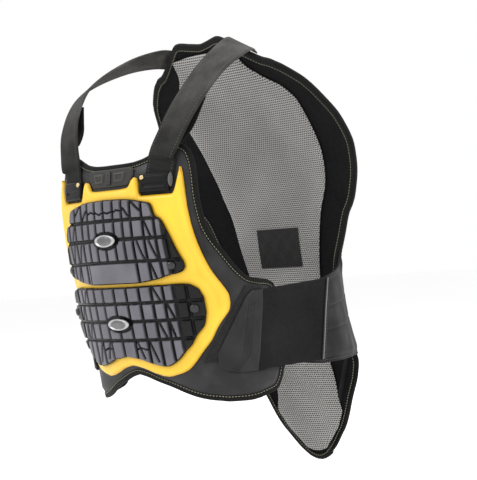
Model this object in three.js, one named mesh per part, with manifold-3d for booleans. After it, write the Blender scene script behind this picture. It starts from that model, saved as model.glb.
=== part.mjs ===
import * as THREE from "three";
import { mergeVertices } from "three/addons/utils/BufferGeometryUtils.js";
import Module from "manifold-3d";

// A chest and back protector in millimetres, in the form that it has when it is worn.
// +Z is up, -Y is the front and +X is the wearer's left. The origin is between the shoulders,
// level with the tops of the straps, where the shoulders hold it up.

// Body form that every piece follows
const BODY_HEIGHT = 660;
const CHEST_DEPTH = 200;
const BACK_DEPTH = 214;
const FRONT_RADIUS = 240;
const FRONT_ARC = 147;
const SIDE_RADIUS = 72;
const BACK_CORNER_RADIUS = 120;
const BACK_CROWN_RADIUS = 900;

// Outlines of the main pieces
const WING_REACH = 250;
// The frame and the treads end this far short of the wing and of the frame
const FRAME_INSET = 80;
const UPPER_TREAD_INSET = 48;
const LOWER_TREAD_INSET = 31;
const FRAME_REACH = WING_REACH - FRAME_INSET;
const UPPER_TREAD_REACH = FRAME_REACH - UPPER_TREAD_INSET;
const LOWER_TREAD_REACH = FRAME_REACH - LOWER_TREAD_INSET;
const BACK_HALF_WIDTH = 201;
const LINING_HALF_WIDTH = 133;

// Walls
const CHEST_WALL = 8;
const BACK_WALL = 12;
const FRAME_WALL = 7.7;
const TREAD_BASE = 2.6;
const TREAD_BRICK = 4.6;
const LINING_WALL = 3;
const LABEL_WALL = 0.8;
const GUARD_WALL = 2.7;
const LUMBAR_WALL = 7;
const ELASTIC_WALL = 2;
const TAB_WALL = 3;
const PATCH_WALL = 1.4;
const TRIM_WALL = 0.9;
const STRAP_WALL = 3;
const RETURN_WALL = 2.4;
const BUCKLE_WALL = 4;
// Thickness left at the rim of each padded panel, as a share of its wall
const BACK_RIM = 0.55;
const CHEST_RIM = 0.55;
const BINDING_WIDTH = 2.6;
const BINDING_LIP = 0.8;

// Widths and small sizes
const STRAP_WIDTH = 48;
const RETURN_WIDTH = 46;
const BUCKLE_WIDTH = 50;
const BUCKLE_HEIGHT = 27;
const BUCKLE_RECESS = 1.5;
const BUCKLE_GRIP = 6;
const BUCKLE_EDGE = 7;
const LABEL_WIDTH = 92;
const LABEL_HEIGHT = 63;
const TRIM_WIDTH = 8;
const GROOVE = 2.6;
const BRICK_TAPER = 0.9;
const OVAL_LENGTH = 42;
const OVAL_HEIGHT = 20;
const OVAL_RISE = 3;
const STUD_RADIUS = 6;
const STUD_RISE = 3.2;
const RIVET_RADIUS = 4;
const RIVET_RISE = 2.4;

// Clearances
const GAP = 0.3;
const LAYER_GAP = 0.9;
const FRAME_GAP = 1.6;
const LINING_GAP = 2.1;
const BINDING_GAP = 0.7;
const SEAM_GAP = 0.6;

// Middle of the chest from the neckline down, as shares of BODY_HEIGHT and CHEST_DEPTH, with the
// roundness of the front at that height as a share of FRONT_RADIUS
const CHEST_PROFILE = [
  { down: 0.24, out: 0.89, round: 1.65 },
  { down: 0.305, out: 0.915, round: 1.65 },
  { down: 0.38, out: 0.935, round: 1.5 },
  { down: 0.447, out: 0.93, round: 1.3 },
  { down: 0.517, out: 0.905, round: 1.1 },
  { down: 0.6, out: 0.87, round: 1 },
  { down: 0.745, out: 0.79, round: 1 },
  { down: 0.85, out: 0.745, round: 1 },
];

// Middle of the back from the collar to the tail, as shares of BODY_HEIGHT and BACK_DEPTH
const BACK_PROFILE = [
  { down: -0.02, out: -0.02 },
  { down: 0.055, out: 0.17 },
  { down: 0.121, out: 0.375 },
  { down: 0.195, out: 0.56 },
  { down: 0.273, out: 0.7 },
  { down: 0.348, out: 0.765 },
  { down: 0.417, out: 0.775 },
  { down: 0.482, out: 0.785 },
  { down: 0.559, out: 0.815 },
  { down: 0.66, out: 0.875 },
  { down: 0.771, out: 0.94 },
  { down: 0.848, out: 0.975 },
  { down: 0.92, out: 1 },
  { down: 1.032, out: 1.05 },
];

// Half widths of the back panel, as shares of BODY_HEIGHT and BACK_HALF_WIDTH
const BACK_WIDTHS = [
  { down: 0.01, half: 0.54 },
  { down: 0.058, half: 0.58 },
  { down: 0.068, half: 0.655 },
  { down: 0.081, half: 0.71 },
  { down: 0.118, half: 0.845 },
  { down: 0.164, half: 0.925 },
  { down: 0.205, half: 0.98 },
  { down: 0.252, half: 0.99 },
  { down: 0.298, half: 0.96 },
  { down: 0.352, half: 0.9 },
  { down: 0.392, half: 0.85 },
  { down: 0.424, half: 0.77 },
  { down: 0.47, half: 0.705 },
  { down: 0.495, half: 0.665 },
  { down: 0.53, half: 0.605 },
  { down: 0.576, half: 0.56 },
  { down: 0.667, half: 0.54 },
  { down: 0.742, half: 0.57 },
  { down: 0.78, half: 0.597 },
  { down: 0.815, half: 0.565 },
  { down: 0.876, half: 0.458 },
  { down: 0.921, half: 0.388 },
  { down: 0.95, half: 0.33 },
  { down: 0.97, half: 0.274 },
  { down: 1.003, half: 0.18 },
  { down: 1.018, half: 0.12 },
];

// Top and bottom edges of the back panel across its width, as shares of BODY_HEIGHT
const BACK_ENDS = [
  { across: 0, top: 0.006, bottom: 1.032 },
  { across: 0.2, top: 0.001, bottom: 1.031 },
  { across: 0.4, top: -0.004, bottom: 1.029 },
  { across: 0.64, top: 0.018, bottom: 1.026 },
  { across: 0.8, top: 0.038, bottom: 1.023 },
  { across: 1, top: 0.063, bottom: 1.018 },
];

// Half widths of the knit lining, as shares of BODY_HEIGHT and LINING_HALF_WIDTH
const LINING_WIDTHS = [
  { down: 0.026, half: 0.52 },
  { down: 0.055, half: 0.56 },
  { down: 0.085, half: 0.7 },
  { down: 0.12, half: 0.93 },
  { down: 0.15, half: 1 },
  { down: 0.25, half: 0.98 },
  { down: 0.35, half: 0.88 },
  { down: 0.417, half: 0.75 },
  { down: 0.5, half: 0.66 },
  { down: 0.559, half: 0.6 },
  { down: 0.66, half: 0.52 },
  { down: 0.77, half: 0.46 },
  { down: 0.83, half: 0.5 },
  { down: 0.875, half: 0.51 },
  { down: 0.907, half: 0.54 },
  { down: 0.93, half: 0.48 },
  { down: 0.95, half: 0.419 },
  { down: 0.97, half: 0.327 },
  { down: 0.99, half: 0.231 },
  { down: 1.003, half: 0.17 },
];

// Edges of the chest panel from its middle to the end of the wing, across as a share of WING_REACH,
// top and bottom as shares of BODY_HEIGHT
const CHEST_EDGES = [
  { across: 0, top: 0.286, bottom: 0.753 },
  { across: 0.065, top: 0.286, bottom: 0.759 },
  { across: 0.15, top: 0.285, bottom: 0.771 },
  { across: 0.24, top: 0.28, bottom: 0.783 },
  { across: 0.324, top: 0.269, bottom: 0.797 },
  { across: 0.4, top: 0.258, bottom: 0.808 },
  { across: 0.48, top: 0.253, bottom: 0.815 },
  { across: 0.545, top: 0.262, bottom: 0.818 },
  { across: 0.58, top: 0.288, bottom: 0.82 },
  { across: 0.6, top: 0.325, bottom: 0.82 },
  { across: 0.608, top: 0.37, bottom: 0.82 },
  { across: 0.62, top: 0.42, bottom: 0.82 },
  { across: 0.65, top: 0.455, bottom: 0.82 },
  { across: 0.69, top: 0.486, bottom: 0.82 },
  { across: 0.75, top: 0.529, bottom: 0.817 },
  { across: 0.81, top: 0.553, bottom: 0.811 },
  { across: 0.88, top: 0.56, bottom: 0.803 },
  { across: 0.93, top: 0.562, bottom: 0.782 },
  { across: 0.965, top: 0.565, bottom: 0.757 },
  { across: 1, top: 0.572, bottom: 0.745 },
];

// Edges of the yellow frame from its middle out, across as a share of FRAME_REACH
const FRAME_EDGES = [
  { across: 0, top: 0.34, bottom: 0.733 },
  { across: 0.12, top: 0.34, bottom: 0.74 },
  { across: 0.24, top: 0.338, bottom: 0.752 },
  { across: 0.28, top: 0.322, bottom: 0.755 },
  { across: 0.315, top: 0.317, bottom: 0.758 },
  { across: 0.345, top: 0.327, bottom: 0.759 },
  { across: 0.37, top: 0.358, bottom: 0.76 },
  { across: 0.46, top: 0.358, bottom: 0.756 },
  { across: 0.55, top: 0.358, bottom: 0.748 },
  { across: 0.625, top: 0.358, bottom: 0.732 },
  { across: 0.7, top: 0.358, bottom: 0.711 },
  { across: 0.74, top: 0.33, bottom: 0.7 },
  { across: 0.775, top: 0.303, bottom: 0.691 },
  { across: 0.8, top: 0.34, bottom: 0.684 },
  { across: 0.82, top: 0.415, bottom: 0.677 },
  { across: 0.845, top: 0.458, bottom: 0.667 },
  { across: 0.9, top: 0.522, bottom: 0.646 },
  { across: 0.95, top: 0.552, bottom: 0.63 },
  { across: 0.985, top: 0.572, bottom: 0.617 },
  { across: 1, top: 0.583, bottom: 0.603 },
];

// Edges of the two ribbed plates, across as a share of their own reach
const UPPER_TREAD_EDGES = [
  { across: 0, top: 0.361, bottom: 0.546 },
  { across: 0.33, top: 0.363, bottom: 0.546 },
  { across: 0.58, top: 0.37, bottom: 0.541 },
  { across: 0.69, top: 0.375, bottom: 0.537 },
  { across: 0.74, top: 0.402, bottom: 0.534 },
  { across: 0.8, top: 0.408, bottom: 0.531 },
  { across: 0.89, top: 0.444, bottom: 0.528 },
  { across: 0.96, top: 0.482, bottom: 0.524 },
  { across: 1, top: 0.502, bottom: 0.515 },
];
const LOWER_TREAD_EDGES = [
  { across: 0, top: 0.5535, bottom: 0.71 },
  { across: 0.2, top: 0.5535, bottom: 0.717 },
  { across: 0.33, top: 0.553, bottom: 0.727 },
  { across: 0.49, top: 0.552, bottom: 0.734 },
  { across: 0.63, top: 0.552, bottom: 0.72 },
  { across: 0.72, top: 0.551, bottom: 0.701 },
  { across: 0.79, top: 0.551, bottom: 0.688 },
  { across: 0.86, top: 0.552, bottom: 0.668 },
  { across: 0.96, top: 0.563, bottom: 0.645 },
  { across: 1, top: 0.585, bottom: 0.618 },
];

// Places of the grooves: heights as shares of BODY_HEIGHT, sides as shares of the plate's reach
const UPPER_GROOVES = { down: [0.406, 0.448, 0.4955], across: [0, 0.156, 0.295, 0.426, 0.582, 0.738, 0.87] };
const LOWER_GROOVES = { down: [0.589, 0.629, 0.671], across: [0, 0.173, 0.331, 0.475, 0.604, 0.719, 0.85] };

// Free run of a strap from the chest to the top edge of the back: across and forward as shares of
// STRAP_SPREAD and CHEST_DEPTH, down as a share of BODY_HEIGHT. The strap faces away from a point
// at the height of its foot, and facing is how far across that point is, as a share of STRAP_SPREAD.
const STRAP_SPREAD = 142;
const STRAP_RUN = [
  { across: 0.727, forward: 0.905, down: 0.272, facing: 0.55 },
  { across: 0.8, forward: 0.87, down: 0.235, facing: 0.55 },
  { across: 0.91, forward: 0.78, down: 0.173, facing: 0.55 },
  { across: 0.99, forward: 0.56, down: 0.092, facing: 0.5 },
  { across: 0.86, forward: 0.19, down: 0.032, facing: 0.1 },
  { across: 0.66, forward: -0.05, down: 0.0145, facing: -0.34 },
  { across: 0.575, forward: -0.14, down: 0.0175, facing: -0.34 },
];

// Front and back edges of the belt tab down its height, as shares of BODY_HEIGHT and WING_REACH
const TAB_EDGES = [
  { down: 0.58, front: 0.805, back: 0.876 },
  { down: 0.59, front: 0.772, back: 0.868 },
  { down: 0.612, front: 0.732, back: 0.856 },
  { down: 0.654, front: 0.664, back: 0.827 },
  { down: 0.697, front: 0.596, back: 0.797 },
  { down: 0.719, front: 0.565, back: 0.783 },
  { down: 0.739, front: 0.565, back: 0.768 },
  { down: 0.75, front: 0.6, back: 0.761 },
  { down: 0.758, front: 0.67, back: 0.755 },
];
const ELASTIC = { topFront: 0.58, bottomFront: 0.757, topBack: 0.568, bottomBack: 0.7545 };
const ELASTIC_BACK = { top: 1.476, bottom: 1.306 };
const PATCH_FRONT = { top: 0.776, bottom: 0.475 };
const PATCH_ENDS = { top: 0.567, bottom: 0.733 };

// Lumbar wing: its front end as a share of WING_REACH, then its top and bottom edges along it
const LUMBAR_FRONT = 1.1;
const LUMBAR_ENDS = [
  { along: 0, top: 0.587, bottom: 0.748 },
  { along: 0.1, top: 0.582, bottom: 0.759 },
  { along: 0.3, top: 0.578, bottom: 0.7645 },
  { along: 0.5, top: 0.567, bottom: 0.7645 },
  { along: 0.75, top: 0.55, bottom: 0.7645 },
  { along: 1, top: 0.51, bottom: 0.7645 },
];

const wasm = await Module();
wasm.setup();

// Smooth value of one column of a table, read at a place in another column.
function read(rows, key, name, at) {
  const last = rows.length - 1;
  if (at <= rows[0][key]) return rows[0][name];
  if (at >= rows[last][key]) return rows[last][name];
  let i = 0;
  while (rows[i + 1][key] < at) i += 1;
  const slope = (j) => (rows[j + 1][name] - rows[j][name]) / (rows[j + 1][key] - rows[j][key]);
  const turn = (j) => {
    if (j === 0) return slope(0);
    if (j === last) return slope(last - 1);
    const before = slope(j - 1);
    const after = slope(j);
    return before * after <= 0 ? 0 : (2 * before * after) / (before + after);
  };
  const span = rows[i + 1][key] - rows[i][key];
  const t = (at - rows[i][key]) / span;
  const a = rows[i][name];
  const b = rows[i + 1][name];
  const rise = (2 * t - 3) * t * t;
  return a * (1 + rise) - b * rise + span * t * (1 - t) * ((1 - t) * turn(i) - t * turn(i + 1));
}

const heightOf = (down) => -down * BODY_HEIGHT;
const downOf = (z) => -z / BODY_HEIGHT;
const chestFront = (z) => -CHEST_DEPTH * read(CHEST_PROFILE, "down", "out", downOf(z));
const backMiddle = (z) => BACK_DEPTH * read(BACK_PROFILE, "down", "out", downOf(z));
const backHalf = (z) => BACK_HALF_WIDTH * read(BACK_WIDTHS, "down", "half", downOf(z));

// Sizes of the ring round the body at one height
function ringAt(z) {
  const front = FRONT_RADIUS * read(CHEST_PROFILE, "down", "round", downOf(z));
  const turn = FRONT_ARC / front;
  const sideX = front * Math.sin(turn) + SIDE_RADIUS * (1 - Math.sin(turn));
  const sideY = front * (1 - Math.cos(turn)) + SIDE_RADIUS * Math.cos(turn);
  const depth = backMiddle(z) - chestFront(z);
  const sideStart = FRONT_ARC + SIDE_RADIUS * (Math.PI / 2 - turn);
  const cornerStart = sideStart + depth - BACK_CORNER_RADIUS - sideY;
  return { front, turn, sideX, sideY, depth, sideStart, cornerStart };
}

// Point of the body form: s runs round from the middle of the chest, z is the height.
function torso(s, z) {
  const ring = ringAt(z);
  const way = Math.abs(s);
  let x;
  let y;
  if (way <= FRONT_ARC) {
    const angle = way / ring.front;
    x = ring.front * Math.sin(angle);
    y = ring.front * (1 - Math.cos(angle));
  } else if (way <= ring.sideStart) {
    const angle = ring.turn + (way - FRONT_ARC) / SIDE_RADIUS;
    x = ring.sideX - SIDE_RADIUS * (1 - Math.sin(angle));
    y = ring.sideY - SIDE_RADIUS * Math.cos(angle);
  } else if (way <= ring.cornerStart) {
    x = ring.sideX;
    y = ring.sideY + way - ring.sideStart;
  } else {
    const angle = (way - ring.cornerStart) / BACK_CORNER_RADIUS;
    x = ring.sideX - BACK_CORNER_RADIUS * (1 - Math.cos(angle));
    y = ring.depth - BACK_CORNER_RADIUS * (1 - Math.sin(angle));
  }
  return new THREE.Vector3(Math.sign(s) * x, chestFront(z) + y, z);
}

// Way round the ring to the place where the lumbar wing meets the bound edge of the back panel
const SEAM_REACH = BINDING_GAP + BINDING_WIDTH + 2 * SEAM_GAP;
function ringToBack(z) {
  const ring = ringAt(z);
  const middle = ring.sideX - BACK_CORNER_RADIUS;
  const cosine = (backHalf(z) + SEAM_REACH - middle) / BACK_CORNER_RADIUS;
  return ring.cornerStart + BACK_CORNER_RADIUS * Math.acos(Math.min(1, cosine));
}

// Point of the back: a runs to the wearer's right, so that a and z turn outwards together.
function back(a, z) {
  return new THREE.Vector3(-a, backMiddle(z) - (a * a) / (2 * BACK_CROWN_RADIUS), z);
}

// Outward normal of a surface and a point that stands off it
function normalOf(surface, a, z) {
  const step = 0.5;
  const across = surface(a + step, z).sub(surface(a - step, z));
  const up = surface(a, z + step).sub(surface(a, z - step));
  return across.cross(up).normalize();
}
function off(surface, a, z, height) {
  return surface(a, z).addScaledVector(normalOf(surface, a, z), height);
}

// Six times the volume inside a triangle list, to tell whether its faces point outwards
function signedVolume(points, faces) {
  let sum = 0;
  const cross = new THREE.Vector3();
  for (const [a, b, c] of faces) sum += points[a].dot(cross.crossVectors(points[b], points[c]));
  return sum;
}
function closedGeometry(points, faces) {
  const turned = signedVolume(points, faces) < 0;
  const geometry = new THREE.BufferGeometry();
  geometry.setAttribute("position", new THREE.Float32BufferAttribute(points.flatMap((p) => p.toArray()), 3));
  geometry.setIndex(faces.flatMap(([a, b, c]) => (turned ? [a, c, b] : [a, b, c])));
  return geometry;
}

// Closed wall on a grid of shares: face(u, v, 1) is its outer side and face(u, v, 0) its inner side.
function wall(across, up, face) {
  const points = [];
  const faces = [];
  const columns = across.length;
  const rows = up.length;
  for (const side of [1, 0]) for (const u of across) for (const v of up) points.push(face(u, v, side));
  const at = (i, j, side) => (side ? 0 : columns * rows) + i * rows + j;
  const quad = (a, b, c, d) => faces.push([a, b, c], [a, c, d]);
  for (let i = 0; i + 1 < columns; i += 1) {
    for (let j = 0; j + 1 < rows; j += 1) {
      quad(at(i, j, 1), at(i + 1, j, 1), at(i + 1, j + 1, 1), at(i, j + 1, 1));
      quad(at(i, j + 1, 0), at(i + 1, j + 1, 0), at(i + 1, j, 0), at(i, j, 0));
    }
    quad(at(i, 0, 0), at(i + 1, 0, 0), at(i + 1, 0, 1), at(i, 0, 1));
    quad(at(i, rows - 1, 1), at(i + 1, rows - 1, 1), at(i + 1, rows - 1, 0), at(i, rows - 1, 0));
  }
  for (let j = 0; j + 1 < rows; j += 1) {
    quad(at(0, j, 1), at(0, j + 1, 1), at(0, j + 1, 0), at(0, j, 0));
    quad(at(columns - 1, j, 0), at(columns - 1, j + 1, 0), at(columns - 1, j + 1, 1), at(columns - 1, j, 1));
  }
  return closedGeometry(points, faces);
}

// Closed bar of a small section carried round a closed path
function hoop(stations, section, place) {
  const points = [];
  const faces = [];
  for (let i = 0; i < stations; i += 1) for (let k = 0; k < section; k += 1) points.push(place(i, k));
  for (let i = 0; i < stations; i += 1) {
    for (let k = 0; k < section; k += 1) {
      const next = (i + 1) % stations;
      const turn = (k + 1) % section;
      const corners = [i * section + k, next * section + k, next * section + turn, i * section + turn];
      faces.push([corners[0], corners[1], corners[2]], [corners[0], corners[2], corners[3]]);
    }
  }
  return closedGeometry(points, faces);
}

// Solids for joins and cuts
function solidOf(geometry) {
  const bare = geometry.clone();
  bare.deleteAttribute("normal");
  bare.deleteAttribute("uv");
  const merged = mergeVertices(bare, 1e-4);
  return new wasm.Manifold(
    new wasm.Mesh({
      numProp: 3,
      vertProperties: new Float32Array(merged.attributes.position.array),
      triVerts: new Uint32Array(merged.index.array),
    }),
  );
}
function geometryOf(solid) {
  const mesh = solid.getMesh();
  const geometry = new THREE.BufferGeometry();
  geometry.setAttribute("position", new THREE.BufferAttribute(mesh.vertProperties, 3));
  geometry.setIndex(new THREE.BufferAttribute(mesh.triVerts, 1));
  return geometry;
}

// Evenly spaced shares, and shares of both sides from the table of one side
const evenly = (count) => Array.from({ length: count + 1 }, (_, i) => i / count);
const bothSides = (shares) => [...shares.slice(1).map((share) => -share).reverse(), ...shares];
const acrossOf = (rows) => rows.map((row) => row.across);
const denser = (shares) => shares.flatMap((share, i) => (i ? [(share + shares[i - 1]) / 2, share] : [share]));
const mix = THREE.MathUtils.lerp;

// How far the outer face has come down at the rim of a padded piece
function rimmed(u, v, rim) {
  const near = Math.min(1 - Math.abs(u), v, 1 - v) / 0.06;
  return near >= 1 ? 1 : rim + (1 - rim) * Math.sqrt(Math.max(0, near * (2 - near)));
}

// Wall on the chest between the top and bottom edges of a table
function chestPlate(rows, reach, columns, up, low, high, rim) {
  return wall(columns, up, (u, v, side) => {
    const share = Math.abs(u);
    const top = heightOf(read(rows, "across", "top", share));
    const bottom = heightOf(read(rows, "across", "bottom", share));
    const height = side ? low + (high - low) * rimmed(u, v, rim) : low;
    return off(torso, u * reach, mix(bottom, top, v), height);
  });
}

const group = new THREE.Group();
function add(name, geometry, color, roughness, metalness = 0) {
  const mesh = new THREE.Mesh(geometry, new THREE.MeshStandardMaterial({ color, roughness, metalness }));
  mesh.name = name;
  group.add(mesh);
  return mesh;
}
const SIDES = [
  ["left", 1],
  ["right", -1],
];

// Extra columns next to the rims, so that a rounded rim has faces of its own
const RIM_ROWS = [0, 0.045];
const padded = (count) => [...RIM_ROWS, ...evenly(count).slice(1, -1), ...RIM_ROWS.map((v) => 1 - v).reverse()];

// Back panel with its tail: one padded shell, softened at its rim
function backPoint(u, v) {
  const share = Math.abs(u);
  const top = heightOf(read(BACK_ENDS, "across", "top", share));
  const bottom = heightOf(read(BACK_ENDS, "across", "bottom", share));
  const z = mix(bottom, top, v);
  return [u * backHalf(z), z];
}
const BACK_ROWS = [
  0, 0.012, 0.024, 0.045, 0.08, 0.12, 0.155, 0.19, 0.21, 0.228, 0.255, 0.3, 0.36, 0.42, 0.47, 0.51, 0.55, 0.59, 0.63,
  0.665, 0.7, 0.735, 0.78, 0.82, 0.86, 0.895, 0.925, 0.945, 0.96, 0.975, 0.988, 1,
];
const BACK_COLUMNS = bothSides([0, 0.2, 0.4, 0.64, 0.8, 0.95, 1]);
add(
  "back_panel",
  wall(BACK_COLUMNS, BACK_ROWS, (u, v, side) => {
    const [a, z] = backPoint(u, v);
    return off(back, a, z, side ? BACK_WALL * rimmed(u, v, BACK_RIM) : 0);
  }),
  0x2c2c2e,
  0.8,
);

// Knit lining, a thin pad on the inside of the back
function liningPoint(u, v, grow) {
  const share = Math.abs(u);
  const top = LINING_WIDTHS[0].down - 0.008 * (1 - share * share);
  const bottom = LINING_WIDTHS[LINING_WIDTHS.length - 1].down + 0.008 * (1 - share * share);
  const down = mix(bottom, top, v);
  const half = LINING_HALF_WIDTH * read(LINING_WIDTHS, "down", "half", down);
  return [u * (half + grow), heightOf(down)];
}
add(
  "back_lining",
  wall(bothSides([0, 0.35, 0.7, 1]), evenly(26), (u, v, side) => {
    const [a, z] = liningPoint(u, v, 0);
    return off(back, a, z, side ? -LINING_GAP : -LINING_GAP - LINING_WALL);
  }),
  0x9d9b98,
  0.9,
);

// Bare cloth patch in the small of the back
const LABEL_DOWN = 0.495;
add(
  "back_label",
  wall(bothSides([0, 1]), evenly(2), (u, v, side) => {
    const z = heightOf(LABEL_DOWN) + (v - 0.5) * LABEL_HEIGHT;
    const depth = -LINING_GAP - LAYER_GAP - LINING_WALL - (side ? 0 : LABEL_WALL);
    return off(back, (u * LABEL_WIDTH) / 2, z, depth);
  }),
  0x1b1b1c,
  0.85,
);

// Bound edge that runs round the outline of a padded piece
function binding(name, outline, surface, thick) {
  const count = outline.length;
  const spots = outline.map(([a, z]) => off(surface, a, z, thick / 2));
  add(
    name,
    hoop(count, 4, (i, k) => {
      const along = spots[(i + 1) % count].clone().sub(spots[(i + count - 1) % count]).normalize();
      const normal = normalOf(surface, outline[i][0], outline[i][1]);
      const outwards = along.clone().cross(normal).normalize();
      const far = BINDING_GAP + (k === 1 || k === 2 ? BINDING_WIDTH : 0);
      const lift = (k > 1 ? 1 : -1) * (thick / 2 + BINDING_LIP);
      return spots[i].clone().addScaledVector(outwards, far).addScaledVector(normal, lift);
    }),
    0x1d1d1d,
    0.75,
  );
}

// Outline of a grid piece, once round with its inside on the left
function outlineOf(columns, up, place) {
  const bottom = columns.map((u) => place(u, 0));
  const right = up.slice(1, -1).map((v) => place(1, v));
  const top = [...columns].reverse().map((u) => place(u, 1));
  const left = up.slice(1, -1).reverse().map((v) => place(-1, v));
  return [...bottom, ...right, ...top, ...left];
}
binding("back_binding", outlineOf(BACK_COLUMNS, BACK_ROWS, backPoint), back, BACK_WALL * BACK_RIM);

// Chest panel with its side wings
const CHEST_COLUMNS = bothSides(acrossOf(CHEST_EDGES));
const CHEST_ROWS = padded(8);
add(
  "chest_panel",
  chestPlate(CHEST_EDGES, WING_REACH, CHEST_COLUMNS, CHEST_ROWS, 0, CHEST_WALL, CHEST_RIM),
  0x3e3e42,
  0.6,
);
binding(
  "chest_binding",
  outlineOf(CHEST_COLUMNS, evenly(8), (u, v) => {
    const share = Math.abs(u);
    const top = heightOf(read(CHEST_EDGES, "across", "top", share));
    const bottom = heightOf(read(CHEST_EDGES, "across", "bottom", share));
    return [u * WING_REACH, mix(bottom, top, v)];
  }),
  torso,
  CHEST_WALL * CHEST_RIM,
);

// Yellow frame on the chest panel
const FRAME_BASE = CHEST_WALL + FRAME_GAP;
const FRAME_TOP = FRAME_BASE + FRAME_WALL;
add(
  "chest_frame",
  chestPlate(FRAME_EDGES, FRAME_REACH, bothSides(acrossOf(FRAME_EDGES)), padded(6), FRAME_BASE, FRAME_TOP, 0.4),
  0xf3c81f,
  0.5,
);

// Ribbed plates: a thin base with rows of tapered bricks joined on it
const TREAD_LOW = FRAME_TOP + LAYER_GAP;
const TREAD_TOP = TREAD_LOW + TREAD_BASE + TREAD_BRICK;
function brick(rows, reach, left, right, low, high) {
  const corner = (s, end, inset) => {
    const share = Math.min(1, Math.abs(s) / reach);
    const top = heightOf(read(rows, "across", "top", share)) - GROOVE / 2;
    const bottom = heightOf(read(rows, "across", "bottom", share)) + GROOVE / 2;
    return end ? Math.min(top, high) - inset : Math.max(bottom, low) + inset;
  };
  const tall = (s) => corner(s, 1, BRICK_TAPER) - corner(s, 0, BRICK_TAPER);
  if (tall(left) < GROOVE || tall(right) < GROOVE) return null;
  return wall([0, 1], [0, 1], (u, v, side) => {
    const inset = side ? BRICK_TAPER : 0;
    const s = u ? right - inset : left + inset;
    return off(torso, s, corner(s, v, inset), side ? TREAD_TOP : TREAD_LOW + TREAD_BASE / 2);
  });
}
function tread(name, rows, reach, grooves) {
  const columns = bothSides(denser(acrossOf(rows)));
  let solid = solidOf(chestPlate(rows, reach, columns, evenly(2), TREAD_LOW, TREAD_LOW + TREAD_BASE, 1));
  const lines = [...bothSides(grooves.across), 1, -1].sort((a, b) => a - b).map((share) => share * reach);
  const levels = [1, ...[...grooves.down].reverse(), 0].map((down) => heightOf(down));
  for (let i = 0; i + 1 < lines.length; i += 1) {
    for (let j = 0; j + 1 < levels.length; j += 1) {
      const low = levels[j] + GROOVE / 2;
      const high = levels[j + 1] - GROOVE / 2;
      const made = brick(rows, reach, lines[i] + GROOVE / 2, lines[i + 1] - GROOVE / 2, low, high);
      if (made) solid = solid.add(solidOf(made));
    }
  }
  add(name, geometryOf(solid), 0x55545c, 0.45);
}
tread("upper_tread", UPPER_TREAD_EDGES, UPPER_TREAD_REACH, UPPER_GROOVES);
tread("lower_tread", LOWER_TREAD_EDGES, LOWER_TREAD_REACH, LOWER_GROOVES);

// Small round or oval pieces that stand on a surface
function dome(radius, rise, sides) {
  const profile = [0, 0.5, 0.85, 1].map((share) => {
    const height = rise * (0.35 + 0.65 * Math.sqrt(1 - share * share));
    return new THREE.Vector2(radius * share, height);
  });
  profile.push(new THREE.Vector2(radius, 0), new THREE.Vector2(0, 0));
  return new THREE.LatheGeometry(profile.reverse(), sides).rotateX(Math.PI / 2);
}
function stand(mesh, surface, s, z, height) {
  const normal = normalOf(surface, s, z);
  const up = new THREE.Vector3(0, 0, 1);
  const side = up.clone().cross(normal).normalize();
  const basis = new THREE.Matrix4().makeBasis(side, normal.clone().cross(side), normal);
  mesh.quaternion.setFromRotationMatrix(basis);
  mesh.position.copy(off(surface, s, z, height));
}
const OVALS = [
  ["upper_oval", 0.449],
  ["lower_oval", 0.634],
];
for (const [name, down] of OVALS) {
  const flat = dome(OVAL_LENGTH / 2, OVAL_RISE, 16).scale(1, OVAL_HEIGHT / OVAL_LENGTH, 1);
  stand(add(name, flat, 0x6d6c74, 0.35), torso, 0, heightOf(down), TREAD_TOP + GAP);
}
const STUDS = [
  ["upper_stud", 0.86, 0.508, UPPER_TREAD_REACH],
  ["lower_stud", 0.9, 0.607, LOWER_TREAD_REACH],
];
for (const [side, sign] of SIDES) {
  for (const [name, share, down, reach] of STUDS) {
    const mesh = add(`${name}_${side}`, dome(STUD_RADIUS, STUD_RISE, 10), 0x2a2a2c, 0.4);
    stand(mesh, torso, sign * share * reach, heightOf(down), TREAD_TOP + GAP);
  }
}

// Stiff panel under the neckline, with two raised pads and a middle strip
const GUARD_REACH = 48;
const GUARD_EDGES = [
  { across: 0, top: 0.293, bottom: 0.332 },
  { across: 0.75, top: 0.292, bottom: 0.331 },
  { across: 1, top: 0.295, bottom: 0.312 },
];
const GUARD_PADS = [0.22, 0.72];
const PAD_RISE = 2;
const STRIP_HALF_WIDTH = 5;
const GUARD_LOW = CHEST_WALL + LAYER_GAP;
const GUARD_TOP = GUARD_LOW + GUARD_WALL;
const guardBand = bothSides([0, 0.22, 0.47, 0.72, 0.85, 1]);
let guard = solidOf(chestPlate(GUARD_EDGES, GUARD_REACH, guardBand, evenly(2), GUARD_LOW, GUARD_TOP, 1));
for (const sign of [1, -1]) {
  const pad = wall([0, 0.5, 1], [0, 1], (u, v, side) => {
    const inset = side ? 1 : 0;
    const s = mix(GUARD_PADS[0] * GUARD_REACH + inset, GUARD_PADS[1] * GUARD_REACH - inset * (1 + 2 * v), u);
    const z = mix(heightOf(0.325) + inset, heightOf(0.3) - inset, v);
    return off(torso, sign * s, z, side ? GUARD_TOP + PAD_RISE : GUARD_LOW + GUARD_WALL / 2);
  });
  guard = guard.add(solidOf(pad));
}
add("neck_guard", geometryOf(guard), 0x2f2f33, 0.55);
add(
  "neck_strip",
  wall([-1, 1], [0, 0.5, 1], (u, v, side) => {
    const z = mix(heightOf(0.327), heightOf(0.299), v);
    return off(torso, u * STRIP_HALF_WIDTH, z, GUARD_TOP + GAP + (side ? PAD_RISE : 0));
  }),
  0x1f1f21,
  0.5,
);

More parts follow.
